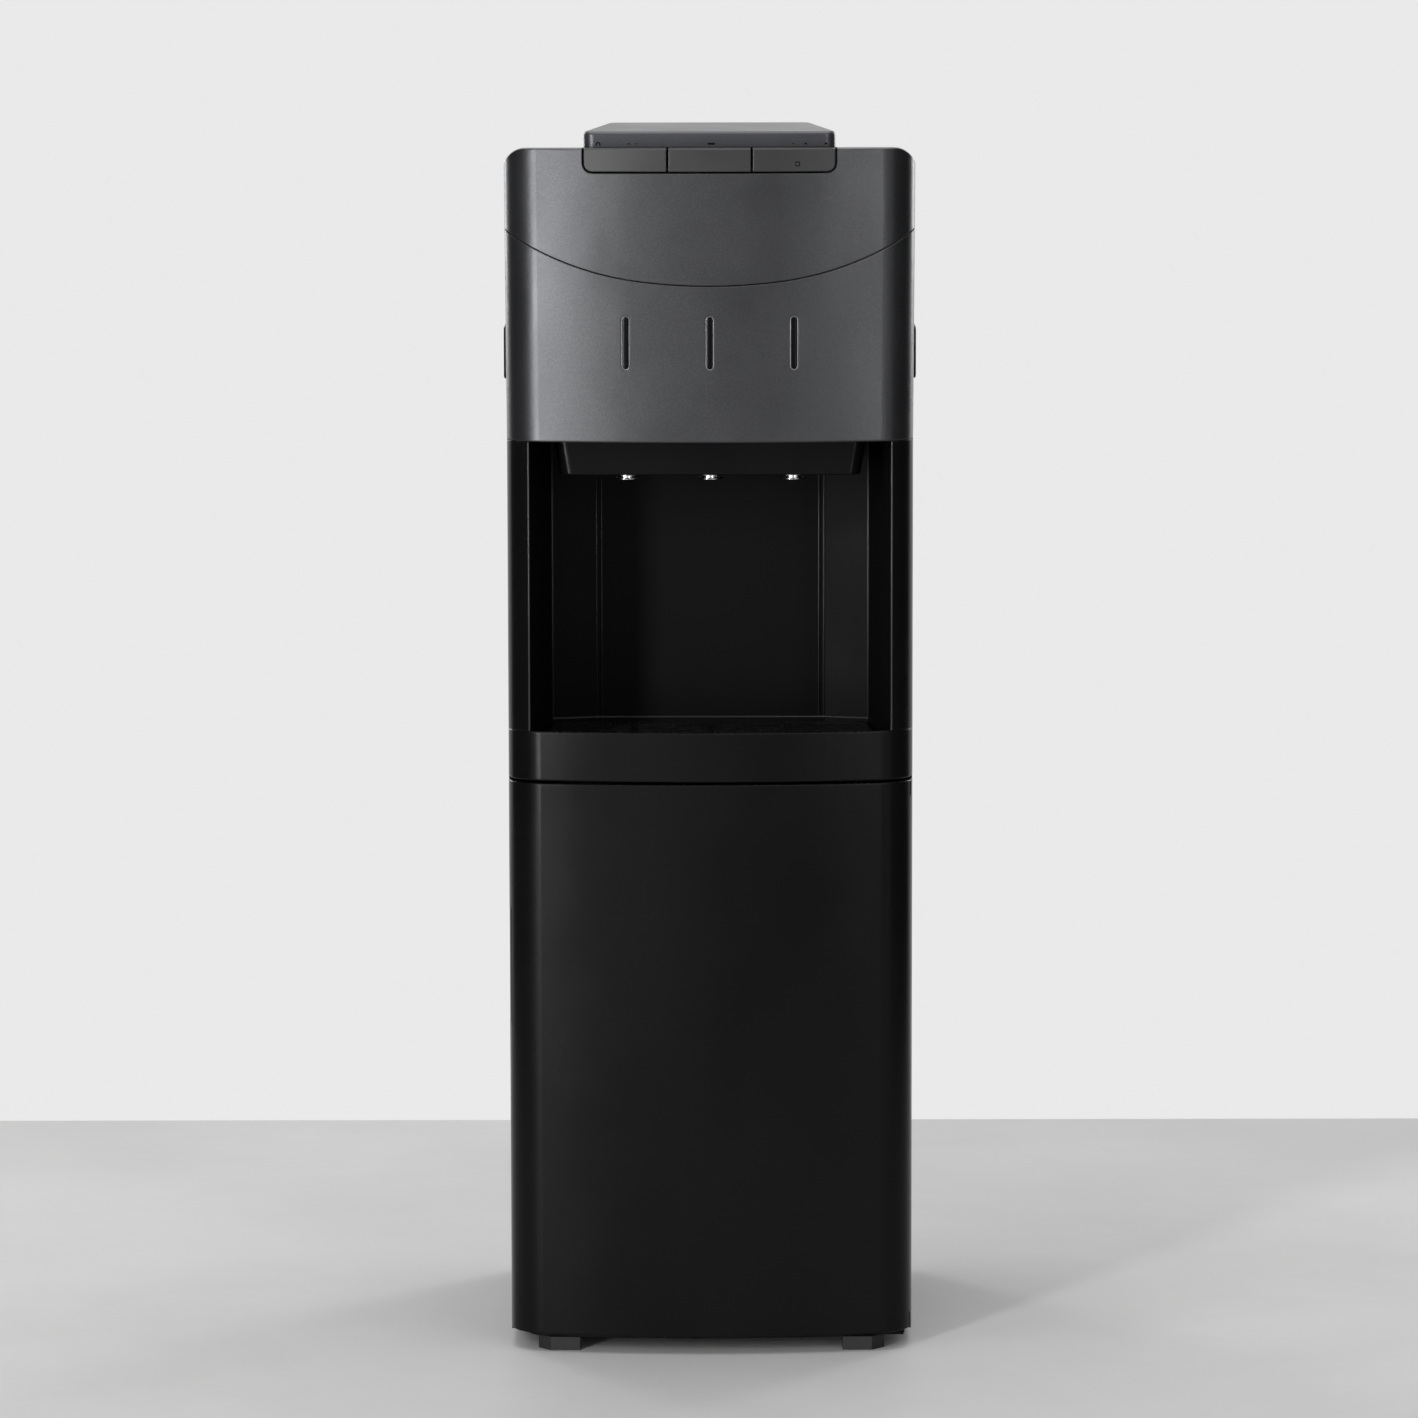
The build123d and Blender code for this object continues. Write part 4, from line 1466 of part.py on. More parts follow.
def drain_port():
    """Drain tail through the rear panel, with a flange against it."""
    tail = ring(DRAIN_TAIL_R, DRAIN_LINE_R, (DRAIN_X, REAR_Y - DRAIN_DEEP, DRAIN_Z),
                (DRAIN_X, REAR_Y + DRAIN_PROUD, DRAIN_Z))
    return tail + ring(DRAIN_FLANGE_R, DRAIN_TAIL_R - OVER, (DRAIN_X, REAR_Y, DRAIN_Z),
                       (DRAIN_X, REAR_Y + DRAIN_FLANGE_T, DRAIN_Z))


def drain_cap():
    """Cap on the drain tail, ribbed for the fingers."""
    near, far = REAR_Y + DRAIN_FLANGE_T + FIT, REAR_Y + DRAIN_PROUD + CAP_END_T
    cap = rod(CAP_R, (DRAIN_X, near, DRAIN_Z), (DRAIN_X, far, DRAIN_Z))
    for i in range(CAP_RIBS):
        angle = radians(i * 360 / CAP_RIBS)
        x, z = DRAIN_X + CAP_GROOVE_OUT * cos(angle), DRAIN_Z + CAP_GROOVE_OUT * sin(angle)
        cap = cap - rod(CAP_GROOVE_R, (x, near - OVER, z), (x, far + OVER, z))
    return cap - rod(DRAIN_TAIL_R + RUN_FIT, (DRAIN_X, near - OVER, DRAIN_Z),
                     (DRAIN_X, REAR_Y + DRAIN_PROUD + RUN_FIT, DRAIN_Z))


def power_inlet():
    """Mains inlet socket low on the back, with its three pins."""
    half_w, half_h = INLET_HALF_W - FIT, INLET_HALF_H - FIT
    floor_y = REAR_Y - INLET_DEEP
    rim = block(around(INLET_X, half_w + INLET_EAR), (REAR_Y, REAR_Y + INLET_RIM_T),
                around(INLET_Z, half_h + INLET_RIM))
    rim = fillet(rim.faces().sort_by(Axis.Y)[-1].edges(), SWITCH_EDGE_R)
    body = rim + block(around(INLET_X, half_w), (floor_y - INLET_BACK_T, REAR_Y + OVER),
                       around(INLET_Z, half_h))
    body = body - block(around(INLET_X, half_w - INLET_WALL), (floor_y, REAR_Y + INLET_RIM_T + OVER),
                        around(INLET_Z, half_h - INLET_WALL))
    for x, z in INLET_PINS:
        body = body + block(around(INLET_X + x, INLET_PIN_HALF_W), (floor_y - OVER, floor_y + INLET_PIN_L),
                            around(INLET_Z + z, INLET_PIN_HALF_H))
    return body


def feet():
    """Two square front feet with cut outer corners and two round rear feet."""
    foot_x = HALF_W - FOOT_IN
    front_y = FRONT_Y + FOOT_SET_BACK
    front = block(around(foot_x, FOOT_W / 2), (front_y, front_y + FOOT_D), (0, BASE_BOTTOM_Z))
    corner = front.edges().filter_by(Axis.Z).sort_by(Axis.Y)[:2].sort_by(Axis.X)[-1]
    front = chamfer(corner, FOOT_CUT)
    front = fillet(front.edges().filter_by(Axis.Z), FOOT_EDGE_R)
    rear_y = REAR_Y - REAR_FOOT_IN
    rear = upright(REAR_FOOT_R, foot_x, rear_y, 0, BASE_BOTTOM_Z)
    return group(front, mirrored(front), rear, mirrored(rear))


def case_screw(x, z):
    """One slotted pan-head screw on the rear panel."""
    head = rod(SCREW_R, (x, REAR_Y, z), (x, REAR_Y + SCREW_H, z))
    head = fillet(head.edges().sort_by(Axis.Y)[-1], SCREW_ROUND)
    slot_ys = (REAR_Y + SCREW_H - SCREW_SLOT_DEEP, REAR_Y + SCREW_H + OVER)
    return head - block(around(x, SCREW_SLOT_W / 2), slot_ys, around(z, SCREW_SLOT_L / 2))


def case_screws():
    """Screws up both edges of the rear panel."""
    low = spaced(BASE_BOTTOM_Z + SCREW_LOW_UP, DECK_TOP_Z - SCREW_DECK_DOWN, SCREWS_EACH)
    high = spaced(DECK_TOP_Z + SCREW_DECK_UP, SEAM_SIDE_Z - SCREW_TOP_DOWN, SCREWS_EACH)
    return group(*[case_screw(x, z) for x in around(0, SIDE_IN - SCREW_IN) for z in low + high])


# ================================================================ every node
def nodes():
    """Every named piece of the cooler."""
    right_side, right_grip = side_panel(), side_grip()
    station_xs = STATIONS.values()
    made = {
        "base_pan": base_pan(), "side_panel_right": right_side, "side_panel_left": mirrored(right_side),
        "rear_panel": rear_panel(), "mid_deck": mid_deck(), "tank_deck": tank_deck(),
        "bottle_cradle": bottle_cradle(), "tray_apron": tray_apron(), "front_posts": front_posts(),
        "niche_liner": niche_liner(), "hinge_brackets": hinge_brackets(), "magnetic_catch": magnetic_catch(),
        "door_panel": door_panel(), "door_liner": door_liner(), "strike_plate": strike_plate(),
        "faucet_hood": faucet_hood(), "spouts": group(*[spout(x) for x in station_xs]),
        "solenoid_valves": group(*[solenoid_valve(x) for x in station_xs]), "valve_bracket": valve_bracket(),
        "drip_tray": drip_tray(), "drip_grille": drip_grille(),
        "front_fascia": front_fascia(), "crown_cover": crown_cover(), "console_pod": console_pod(),
        "indicator_lenses": group(*[indicator_lens(x) for x in station_xs]), "control_board": control_board(),
        "key_axle": key_axle(), "key_board": key_board(),
        "cold_tank": cold_tank(), "cold_tank_lid": cold_tank_lid(),
        "cold_foam": foam_cup(COLD_X, COLD_R, COLD_RIM_Z),
        "hot_tank": hot_tank(), "hot_tank_heater": hot_tank_heater(),
        "hot_foam": foam_cup(HOT_X, HOT_R + HEATER_T, HOT_TOP_Z),
        "compressor": compressor(), "compressor_grommets": compressor_grommets(), "condenser": condenser(),
        "refrigerant_lines": refrigerant_lines(), "water_pump": water_pump(), "water_lines": water_lines(),
        "wiring": wiring(),
        "bottle_probe": bottle_probe(), "probe_holder": probe_holder(), "probe_hose": probe_hose(),
        "switch_plate": switch_plate(), "drain_port": drain_port(), "drain_cap": drain_cap(),
        "power_inlet": power_inlet(), "feet": feet(), "case_screws": case_screws(),
        "side_grip_right": right_grip, "side_grip_left": mirrored(right_grip),
        "hot_rocker": rocker(ROCKER_XS[0]), "cold_rocker": rocker(ROCKER_XS[1]),
    }
    for name, x in STATIONS.items():
        made["key_" + name] = front_key(x)
        made["dome_" + name] = key_dome(x)
    return made


os.makedirs("parts", exist_ok=True)
for node, shape in nodes().items():
    export_step(shape, f"parts/{node}.step")
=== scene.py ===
import bmesh
import bpy
import json
from math import cos, pi, radians, sin, sqrt
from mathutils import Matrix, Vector

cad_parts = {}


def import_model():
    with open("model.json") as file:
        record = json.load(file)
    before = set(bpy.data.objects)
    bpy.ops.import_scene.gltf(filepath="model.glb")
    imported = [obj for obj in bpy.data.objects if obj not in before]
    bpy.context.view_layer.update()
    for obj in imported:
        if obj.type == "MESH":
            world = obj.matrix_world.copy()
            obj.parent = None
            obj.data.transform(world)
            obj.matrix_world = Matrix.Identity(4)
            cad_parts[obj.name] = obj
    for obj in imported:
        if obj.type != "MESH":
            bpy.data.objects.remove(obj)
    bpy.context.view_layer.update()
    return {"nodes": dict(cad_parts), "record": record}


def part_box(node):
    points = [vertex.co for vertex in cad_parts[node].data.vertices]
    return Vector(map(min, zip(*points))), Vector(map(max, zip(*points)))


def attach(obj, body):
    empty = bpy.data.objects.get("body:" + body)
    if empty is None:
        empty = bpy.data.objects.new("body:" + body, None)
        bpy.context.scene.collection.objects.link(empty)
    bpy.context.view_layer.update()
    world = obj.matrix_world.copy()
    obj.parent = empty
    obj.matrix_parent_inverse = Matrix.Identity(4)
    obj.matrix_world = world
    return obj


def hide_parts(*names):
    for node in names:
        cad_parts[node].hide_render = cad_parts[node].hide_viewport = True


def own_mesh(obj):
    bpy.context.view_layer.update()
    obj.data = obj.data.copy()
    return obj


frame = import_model()

# ---------------------------------------------------------------- sizes, in metres
FRONT_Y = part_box("front_fascia")[0].y   # front of the bow, the cooler's foremost line
HEAD_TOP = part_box("crown_cover")[1].z
STATION_PITCH = 0.0705                  # spouts, windows and keys share one pitch
STATION_XS = (-STATION_PITCH, 0.0, STATION_PITCH)
BOW_R = 0.780                           # radius of the bowed front, seen from above

# ---------------------------------------------------------------- colours
CHARCOAL = (0.050, 0.051, 0.054)
CHARCOAL_LIGHT = (0.056, 0.057, 0.060)
CONSOLE_GREY = (0.044, 0.045, 0.050)
KEY_GREY = (0.031, 0.031, 0.031)
SHEET_BLACK = (0.0042, 0.0042, 0.0044)
MOULD_BLACK = (0.0034, 0.0034, 0.0036)
LINER_GREY = (0.016, 0.016, 0.017)
WORN_GREY = (0.09, 0.09, 0.09)
DUST = (0.16, 0.15, 0.14)
ZINC = (0.50, 0.51, 0.52)
STEEL = (0.58, 0.58, 0.59)
CHROME = (0.80, 0.80, 0.82)
COPPER = (0.72, 0.36, 0.20)
BOARD_GREEN = (0.015, 0.10, 0.045)
RUBBER = (0.006, 0.006, 0.006)
NATURAL_WHITE = (0.70, 0.71, 0.70)
FOAM = (0.68, 0.61, 0.42)
HOSE_GREY = (0.50, 0.53, 0.54)
SMOKED = (0.0030, 0.0030, 0.0034)
FLAKE_GREY = (0.30, 0.30, 0.31)
# window rims: a grey far lighter than the charcoal round them, a painted highlight on the slots' rounded
# edges
RIM_HIGHLIGHT_GREY, RIM_HIGHLIGHT_LIGHT = (0.16, 0.16, 0.165), (0.20, 0.20, 0.205)
# niche and post beads: a grey several times lighter than the black moulding, a painted highlight on those
# edges
BEAD_HIGHLIGHT_DARK, BEAD_HIGHLIGHT_LIGHT = (0.020, 0.020, 0.021), (0.026, 0.026, 0.027)
MARK_BLACK, MARK_LIGHT = (0.006, 0.006, 0.006), (0.009, 0.009, 0.009)
DULL = 0.08             # specular level of the black paint and smoked windows
MOULD_SHINE = 0.105     # of the black mouldings
NICHE_SHINE = 0.06      # of the niche, which is moulded duller
MARK_SHINE = 0.02       # of the printed marks


# ---------------------------------------------------------------- node helpers
class Tree:
    """A node tree with short calls for adding and joining nodes."""

    def __init__(self, tree):
        self.tree = tree

    def add(self, kind, inputs=None, **settings):
        node = self.tree.nodes.new(kind)
        for name, value in settings.items():
            setattr(node, name, value)
        for name, value in (inputs or {}).items():
            if isinstance(value, bpy.types.NodeSocket):
                self.tree.links.new(value, node.inputs[name])
            else:
                node.inputs[name].default_value = value
        return node

    def maths(self, operation, a, b=0.0, clamp=False):
        node = self.add("ShaderNodeMath", {0: a, 1: b}, operation=operation)
        node.use_clamp = clamp
        return node.outputs[0]

    def ramp(self, value, low, high, out_low=0.0, out_high=1.0):
        node = self.add("ShaderNodeMapRange", {"Value": value, "From Min": low, "From Max": high,
                                               "To Min": out_low, "To Max": out_high})
        node.interpolation_type = "SMOOTHSTEP"
        return node.outputs["Result"]

    def noise(self, where, scale, detail=3.0, roughness=0.5):
        node = self.add("ShaderNodeTexNoise", {"Vector": where, "Scale": scale, "Detail": detail,
                                               "Roughness": roughness})
        return node.outputs["Fac"]

    def stretch(self, where, x, y, z):
        node = self.add("ShaderNodeMapping", {"Vector": where, "Scale": (x, y, z)})
        return node.outputs["Vector"]

    def blend(self, factor, a, b):
        node = self.add("ShaderNodeMix", data_type="RGBA")
        for index, value in ((0, factor), (6, a), (7, b)):
            if isinstance(value, bpy.types.NodeSocket):
                self.tree.links.new(value, node.inputs[index])
            else:
                node.inputs[index].default_value = value if index == 0 else (*value[:3], 1.0)
        return node.outputs[2]


def new_group(name, inputs, outputs):
    """A shader node group with named sockets: (name, kind, default)."""
    group = bpy.data.node_groups.new(name, "ShaderNodeTree")
    for label, kind, default in inputs:
        socket = group.interface.new_socket(label, in_out="INPUT", socket_type=kind)
        if default is not None:
            socket.default_value = default
    for label, kind in outputs:
        group.interface.new_socket(label, in_out="OUTPUT", socket_type=kind)
    tree = Tree(group)
    return group, tree, tree.add("NodeGroupInput").outputs, tree.add("NodeGroupOutput").inputs


NUMBER, VECTOR = "NodeSocketFloat", "NodeSocketVector"


def moulded_grain():
    """Fine spark-eroded grain of moulded plastic, with a soft flow pattern under it."""
    group, t, given, made = new_group(
        "moulded_grain", [("Where", VECTOR, None), ("Grain", NUMBER, 2200.0), ("Depth", NUMBER, 1.0)],
        [("Height", NUMBER), ("Roughness", NUMBER), ("Flow", NUMBER)])
    pits = t.add("ShaderNodeTexVoronoi", {"Vector": given["Where"], "Scale": given["Grain"]})
    fine = t.noise(given["Where"], given["Grain"], 2.0, 0.6)
    both = t.maths("MULTIPLY_ADD", pits.outputs["Distance"], 0.6)
    t.tree.links.new(fine, both.node.inputs[2])
    t.tree.links.new(t.maths("MULTIPLY", both, given["Depth"]), made["Height"])
    flow = t.noise(given["Where"], 9.0, 4.0, 0.55)
    t.tree.links.new(flow, made["Flow"])
    t.tree.links.new(t.ramp(flow, 0.3, 0.7, -0.035, 0.035), made["Roughness"])
    return group


def edge_wear():
    """Mask of rubbed edges, broken up by noise, from how far a rounded normal turns."""
    group, t, given, made = new_group(
        "edge_wear", [("Where", VECTOR, None), ("Radius", NUMBER, 0.0012), ("Amount", NUMBER, 0.5)],
        [("Mask", NUMBER), ("Normal", VECTOR)])
    bevel = t.add("ShaderNodeBevel", {"Radius": given["Radius"]}, samples=4)
    shape = t.add("ShaderNodeNewGeometry")
    turn = t.add("ShaderNodeVectorMath", {0: bevel.outputs["Normal"], 1: shape.outputs["Normal"]},
                 operation="DOT_PRODUCT")
    edge = t.ramp(t.maths("SUBTRACT", 1.0, turn.outputs["Value"]), 0.015, 0.16)
    broken = t.ramp(t.noise(given["Where"], 130.0, 5.0, 0.7), 0.42, 0.68)
    rubbed = t.maths("MULTIPLY", edge, broken)
    t.tree.links.new(t.maths("MULTIPLY", rubbed, given["Amount"], True), made["Mask"])
    t.tree.links.new(bevel.outputs["Normal"], made["Normal"])
    return group


def settled_dust():
    """Mask of light dust on faces that look up, thicker in patches."""
    group, t, given, made = new_group(
        "settled_dust", [("Where", VECTOR, None), ("Amount", NUMBER, 0.3)], [("Mask", NUMBER)])
    shape = t.add("ShaderNodeNewGeometry")
    parts = t.add("ShaderNodeSeparateXYZ", {0: shape.outputs["Normal"]})
    up = t.ramp(parts.outputs["Z"], 0.45, 1.0)
    specks = t.ramp(t.noise(given["Where"], 420.0, 3.0, 0.75), 0.44, 0.72)
    patches = t.ramp(t.noise(given["Where"], 14.0, 3.0, 0.5), 0.3, 0.75, 0.25, 1.0)
    mask = t.maths("MULTIPLY", t.maths("MULTIPLY", up, specks), patches)
    t.tree.links.new(t.maths("MULTIPLY", mask, given["Amount"], True), made["Mask"])
    return group


def wiping_marks():
    """Faint smears left by wiping, and hairline scratches, for roughness and height."""
    group, t, given, made = new_group(
        "wiping_marks", [("Where", VECTOR, None), ("Amount", NUMBER, 1.0)],
        [("Roughness", NUMBER), ("Height", NUMBER)])
    smears = t.noise(t.stretch(given["Where"], 7.0, 7.0, 2.2), 1.6, 5.0, 0.6)
    lines = t.noise(t.stretch(given["Where"], 900.0, 900.0, 24.0), 1.0, 2.0, 0.6)
    scratches = t.ramp(lines, 0.66, 0.74)
    dulled = t.ramp(smears, 0.3, 0.72, -0.04, 0.06)
    t.tree.links.new(t.maths("MULTIPLY", dulled, given["Amount"]), made["Roughness"])
    deep = t.maths("MULTIPLY", given["Amount"], -0.4)
    t.tree.links.new(t.maths("MULTIPLY", scratches, deep), made["Height"])
    return group


def paint_peel():
    """Soft orange-peel of powder coat, with the odd pinhole."""
    group, t, given, made = new_group("paint_peel", [("Where", VECTOR, None)],
                                      [("Height", NUMBER), ("Roughness", NUMBER)])
    peel = t.noise(given["Where"], 520.0, 2.0, 0.45)
    holes = t.add("ShaderNodeTexVoronoi", {"Vector": given["Where"], "Scale": 90.0})
    pin = t.ramp(holes.outputs["Distance"], 0.0, 0.035, -0.8, 0.0)
    t.tree.links.new(t.maths("ADD", peel, pin), made["Height"])
    t.tree.links.new(t.ramp(t.noise(given["Where"], 12.0), 0.3, 0.7, -0.03, 0.05), made["Roughness"])
    return group


def drawn_lines():
    """Fine parallel lines of brushed or rolled metal."""
    group, t, given, made = new_group(
        "drawn_lines", [("Where", VECTOR, None), ("Along", VECTOR, (1.0, 60.0, 60.0))],
        [("Height", NUMBER), ("Shade", NUMBER), ("Roughness", NUMBER)])
    spread = t.add("ShaderNodeVectorMath", {0: given["Where"], 1: given["Along"]}, operation="MULTIPLY")
    lines = t.noise(spread.outputs["Vector"], 30.0, 5.0, 0.65)
    t.tree.links.new(lines, made["Height"])
    t.tree.links.new(t.ramp(lines, 0.25, 0.75), made["Shade"])
    t.tree.links.new(t.ramp(lines, 0.2, 0.8, -0.06, 0.08), made["Roughness"])
    return group


def metal_flake():
    """Tiny bright flakes in a metallic paint."""
    group, t, given, made = new_group("metal_flake", [("Where", VECTOR, None), ("Flakes", NUMBER, 1500.0)],
                                      [("Mask", NUMBER), ("Drift", NUMBER)])
    cells = t.add("ShaderNodeTexVoronoi", {"Vector": given["Where"], "Scale": given["Flakes"]})
    parts = t.add("ShaderNodeSeparateColor", {0: cells.outputs["Color"]})
    t.tree.links.new(t.ramp(parts.outputs["Red"], 0.35, 1.0), made["Mask"])
    t.tree.links.new(t.ramp(t.noise(given["Where"], 5.0, 3.0), 0.3, 0.7), made["Drift"])
    return group


GRAIN, WEAR, DUSTY, WIPED = moulded_grain(), edge_wear(), settled_dust(), wiping_marks()
PEEL, LINES, FLAKE = paint_peel(), drawn_lines(), metal_flake()


class Finish:
    """One material: a Principled shader whose colour, roughness and bump are built up in steps."""

    def __init__(self, name, roughness, **plain):
        self.material = bpy.data.materials.new(name)
        self.material.use_nodes = True
        tree = self.material.node_tree
        tree.nodes.clear()
        self.t = Tree(tree)
        self.shader = self.t.add("ShaderNodeBsdfPrincipled")
        output = self.t.add("ShaderNodeOutputMaterial")
        tree.links.new(self.shader.outputs[0], output.inputs[0])
        self.where = self.t.add("ShaderNodeTexCoord").outputs["Object"]
        for label, value in plain.items():
            self.shader.inputs[label.replace("_", " ")].default_value = value
        self.rough, self.height, self.colour = roughness, None, None
        self.normal = None

    def place(self, group, **inputs):
        """Adds an effect group, reading its Where from the piece's own coordinates."""
        node = self.t.add("ShaderNodeGroup", node_tree=group)
        self.t.tree.links.new(self.where, node.inputs["Where"])
        for label, value in inputs.items():
            node.inputs[label].default_value = value
        return node.outputs

    def raise_by(self, height):
        self.height = height if self.height is None else self.t.maths("ADD", self.height, height)

    def roughen(self, shift):
        self.rough = self.t.maths("ADD", shift, self.rough)

    def done(self, bump=0.0):
        links = self.t.tree.links
        links.new(self.colour, self.shader.inputs["Base Color"])
        if isinstance(self.rough, bpy.types.NodeSocket):
            links.new(self.t.maths("ADD", self.rough, 0.0, True), self.shader.inputs["Roughness"])
        else:
            self.shader.inputs["Roughness"].default_value = self.rough
        if self.height is not None:
            bumped = self.t.add("ShaderNodeBump", {"Height": self.height, "Distance": bump})
            if self.normal is not None:
                links.new(self.normal, bumped.inputs["Normal"])
            links.new(bumped.outputs[0], self.shader.inputs["Normal"])
        elif self.normal is not None:
            links.new(self.normal, self.shader.inputs["Normal"])
        return self.material


def shell_finish(name, dark, light, roughness, flakes=0.0, grain=2200.0, depth=0.5, wear=0.5, dust=0.25,
                 **plain):
    """Moulded or painted shell: two close tones, optional flake, grain, smears, worn edges and dust."""
    f = Finish(name, roughness, **plain)
    grained = f.place(GRAIN, Grain=grain, Depth=depth)
    wiped = f.place(WIPED, Amount=0.7)
    worn = f.place(WEAR, Amount=wear)
    dusty = f.place(DUSTY, Amount=dust)
    f.colour = f.t.blend(grained["Flow"], dark, light)
    if flakes:
        flake = f.place(FLAKE)
        f.colour = f.t.blend(f.t.maths("MULTIPLY", flake["Mask"], flakes), f.colour, FLAKE_GREY)
    f.colour = f.t.blend(worn["Mask"], f.colour, WORN_GREY)
    f.colour = f.t.blend(dusty["Mask"], f.colour, DUST)
    f.normal = worn["Normal"]
    f.raise_by(grained["Height"])
    f.raise_by(wiped["Height"])
    f.roughen(grained["Roughness"])
    f.roughen(wiped["Roughness"])
    f.roughen(f.t.maths("MULTIPLY", dusty["Mask"], 0.5))
    return f.done(0.00002)


def sheet_finish(name, dark, light, roughness, **plain):
    """Powder-coated sheet steel."""
    f = Finish(name, roughness, **plain)
    peel = f.place(PEEL)
    wiped = f.place(WIPED, Amount=0.8)
    worn = f.place(WEAR, Amount=0.6, Radius=0.0008)
    dusty = f.place(DUSTY, Amount=0.35)
    f.colour = f.t.blend(f.t.noise(f.where, 6.0), dark, light)
    f.colour = f.t.blend(worn["Mask"], f.colour, WORN_GREY)
    f.colour = f.t.blend(dusty["Mask"], f.colour, DUST)
    f.normal = worn["Normal"]
    f.raise_by(peel["Height"])
    f.roughen(peel["Roughness"])
    f.roughen(wiped["Roughness"])
    return f.done(0.00003)


def metal_finish(name, colour, tint, roughness, along=(1.0, 60.0, 60.0), wear=0.2, bump=0.000012, **plain):
    """Bare or plated metal with drawn lines and a faint stain."""
    f = Finish(name, roughness, Metallic=1.0, **plain)
    lines = f.place(LINES, Along=along)
    wiped = f.place(WIPED, Amount=0.8)
    worn = f.place(WEAR, Amount=wear, Radius=0.0006)
    f.colour = f.t.blend(lines["Shade"], colour, tint)
    stain = f.t.ramp(f.t.noise(f.where, 22.0, 4.0, 0.6), 0.45, 0.8)
    f.colour = f.t.blend(f.t.maths("MULTIPLY", stain, 0.35), f.colour, tuple(0.6 * c for c in colour))
    f.normal = worn["Normal"]
    f.raise_by(lines["Height"])
    f.roughen(lines["Roughness"])
    f.roughen(wiped["Roughness"])
    return f.done(bump)


def soft_finish(name, dark, light, roughness, grain=900.0, **plain):
    """Rubber, foam or hose: mottled tone and an open grain."""
    f = Finish(name, roughness, **plain)
    grained = f.place(GRAIN, Grain=grain, Depth=1.0)
    dusty = f.place(DUSTY, Amount=0.3)
    f.colour = f.t.blend(grained["Flow"], dark, light)
    f.colour = f.t.blend(dusty["Mask"], f.colour, DUST)
    f.raise_by(grained["Height"])
    f.roughen(grained["Roughness"])
    return f.done(0.00006)


def lighter(colour, by=1.35):
    return tuple(min(1.0, c * by) for c in colour)


FINISHES = {
    "charcoal_shell": shell_finish("charcoal_shell", CHARCOAL, CHARCOAL_LIGHT, 0.31, flakes=0.05,
                                   Metallic=0.8),
    "console_gloss": shell_finish("console_gloss", CONSOLE_GREY, lighter(CONSOLE_GREY), 0.32, flakes=0.05,
                                  Metallic=0.5, depth=0.2, dust=0.05),
    "key_plastic": shell_finish("key_plastic", KEY_GREY, lighter(KEY_GREY), 0.36, Metallic=0.5),
    "black_sheet": sheet_finish("black_sheet", SHEET_BLACK, lighter(SHEET_BLACK), 0.30,
                                Specular_IOR_Level=DULL),
    "black_moulding": shell_finish("black_moulding", MOULD_BLACK, lighter(MOULD_BLACK), 0.22, wear=0.35,
                                   Specular_IOR_Level=MOULD_SHINE),
    "liner_grey": shell_finish("liner_grey", LINER_GREY, lighter(LINER_GREY), 0.5),
    "zinc_sheet": metal_finish("zinc_sheet", ZINC, lighter(ZINC, 1.2), 0.38, along=(30.0, 30.0, 1.0)),
    "bright_chrome": metal_finish("bright_chrome", CHROME, lighter(CHROME, 1.1), 0.16, wear=0.0,
                                  bump=0.000001),
    "window_clear": shell_finish("window_clear", SMOKED, lighter(SMOKED), 0.12, depth=0.05, wear=0.0,
                                 Specular_IOR_Level=DULL),
    "circuit_green": shell_finish("circuit_green", BOARD_GREEN, lighter(BOARD_GREEN), 0.3, depth=0.2),
    "soft_rubber": soft_finish("soft_rubber", RUBBER, lighter(RUBBER), 0.62),
    "tank_steel": metal_finish("tank_steel", STEEL, lighter(STEEL, 1.2), 0.25, along=(60.0, 60.0, 1.0)),
    "white_moulding": shell_finish("white_moulding", NATURAL_WHITE, lighter(NATURAL_WHITE, 1.1), 0.42),
    "foam_jacket": soft_finish("foam_jacket", FOAM, lighter(FOAM, 1.2), 0.8, grain=500.0),
    "black_steel": sheet_finish("black_steel", SHEET_BLACK, lighter(SHEET_BLACK), 0.30),
    "copper_line": metal_finish("copper_line", COPPER, lighter(COPPER, 1.15), 0.28),
    "hose_clear": soft_finish("hose_clear", HOSE_GREY, lighter(HOSE_GREY, 1.1), 0.3, grain=300.0),
}
# the rim's lighter grey is a painted highlight on the window edges
RIM_HIGHLIGHT_FINISH = shell_finish("window_rim", RIM_HIGHLIGHT_GREY, RIM_HIGHLIGHT_LIGHT, 0.28, depth=0.1, wear=0.2, Metallic=0.7)
# the beads' lighter grey is a painted highlight on the niche and post edges
BEAD_HIGHLIGHT_FINISH = shell_finish("niche_bead", BEAD_HIGHLIGHT_DARK, BEAD_HIGHLIGHT_LIGHT, 0.30, depth=0.2, wear=0.2)
MARK_FINISH = shell_finish("printed_mark", MARK_BLACK, MARK_LIGHT, 0.5, depth=0.1, wear=0.0,
                           Specular_IOR_Level=MARK_SHINE)
OWN_FINISHES = {    # nodes whose finish departs from their slot's
    "niche_liner": shell_finish("niche_moulding", MOULD_BLACK, lighter(MOULD_BLACK), 0.50, wear=0.3,
                                Specular_IOR_Level=NICHE_SHINE),
    "hinge_brackets": sheet_finish("hinge_black", SHEET_BLACK, lighter(SHEET_BLACK), 0.4,
                                   Specular_IOR_Level=DULL),
}
for row in frame["record"]["subparts"]:
    node = frame["nodes"][row["node"]]
    node.data.materials.clear()
    node.data.materials.append(OWN_FINISHES.get(row["node"], FINISHES[row["material_slot"]]))


# ---------------------------------------------------------------- small pieces
BEAD_SIDES = 10
DOME_STEPS = ((1.0, 0.25), (0.7, 0.72))     # of an open end: how far out, share of the radius
DEPTHWISE, UPWARD = (0.0, 1.0, 0.0), (0.0, 0.0, 1.0)
SIDES = ("left", "center", "right")


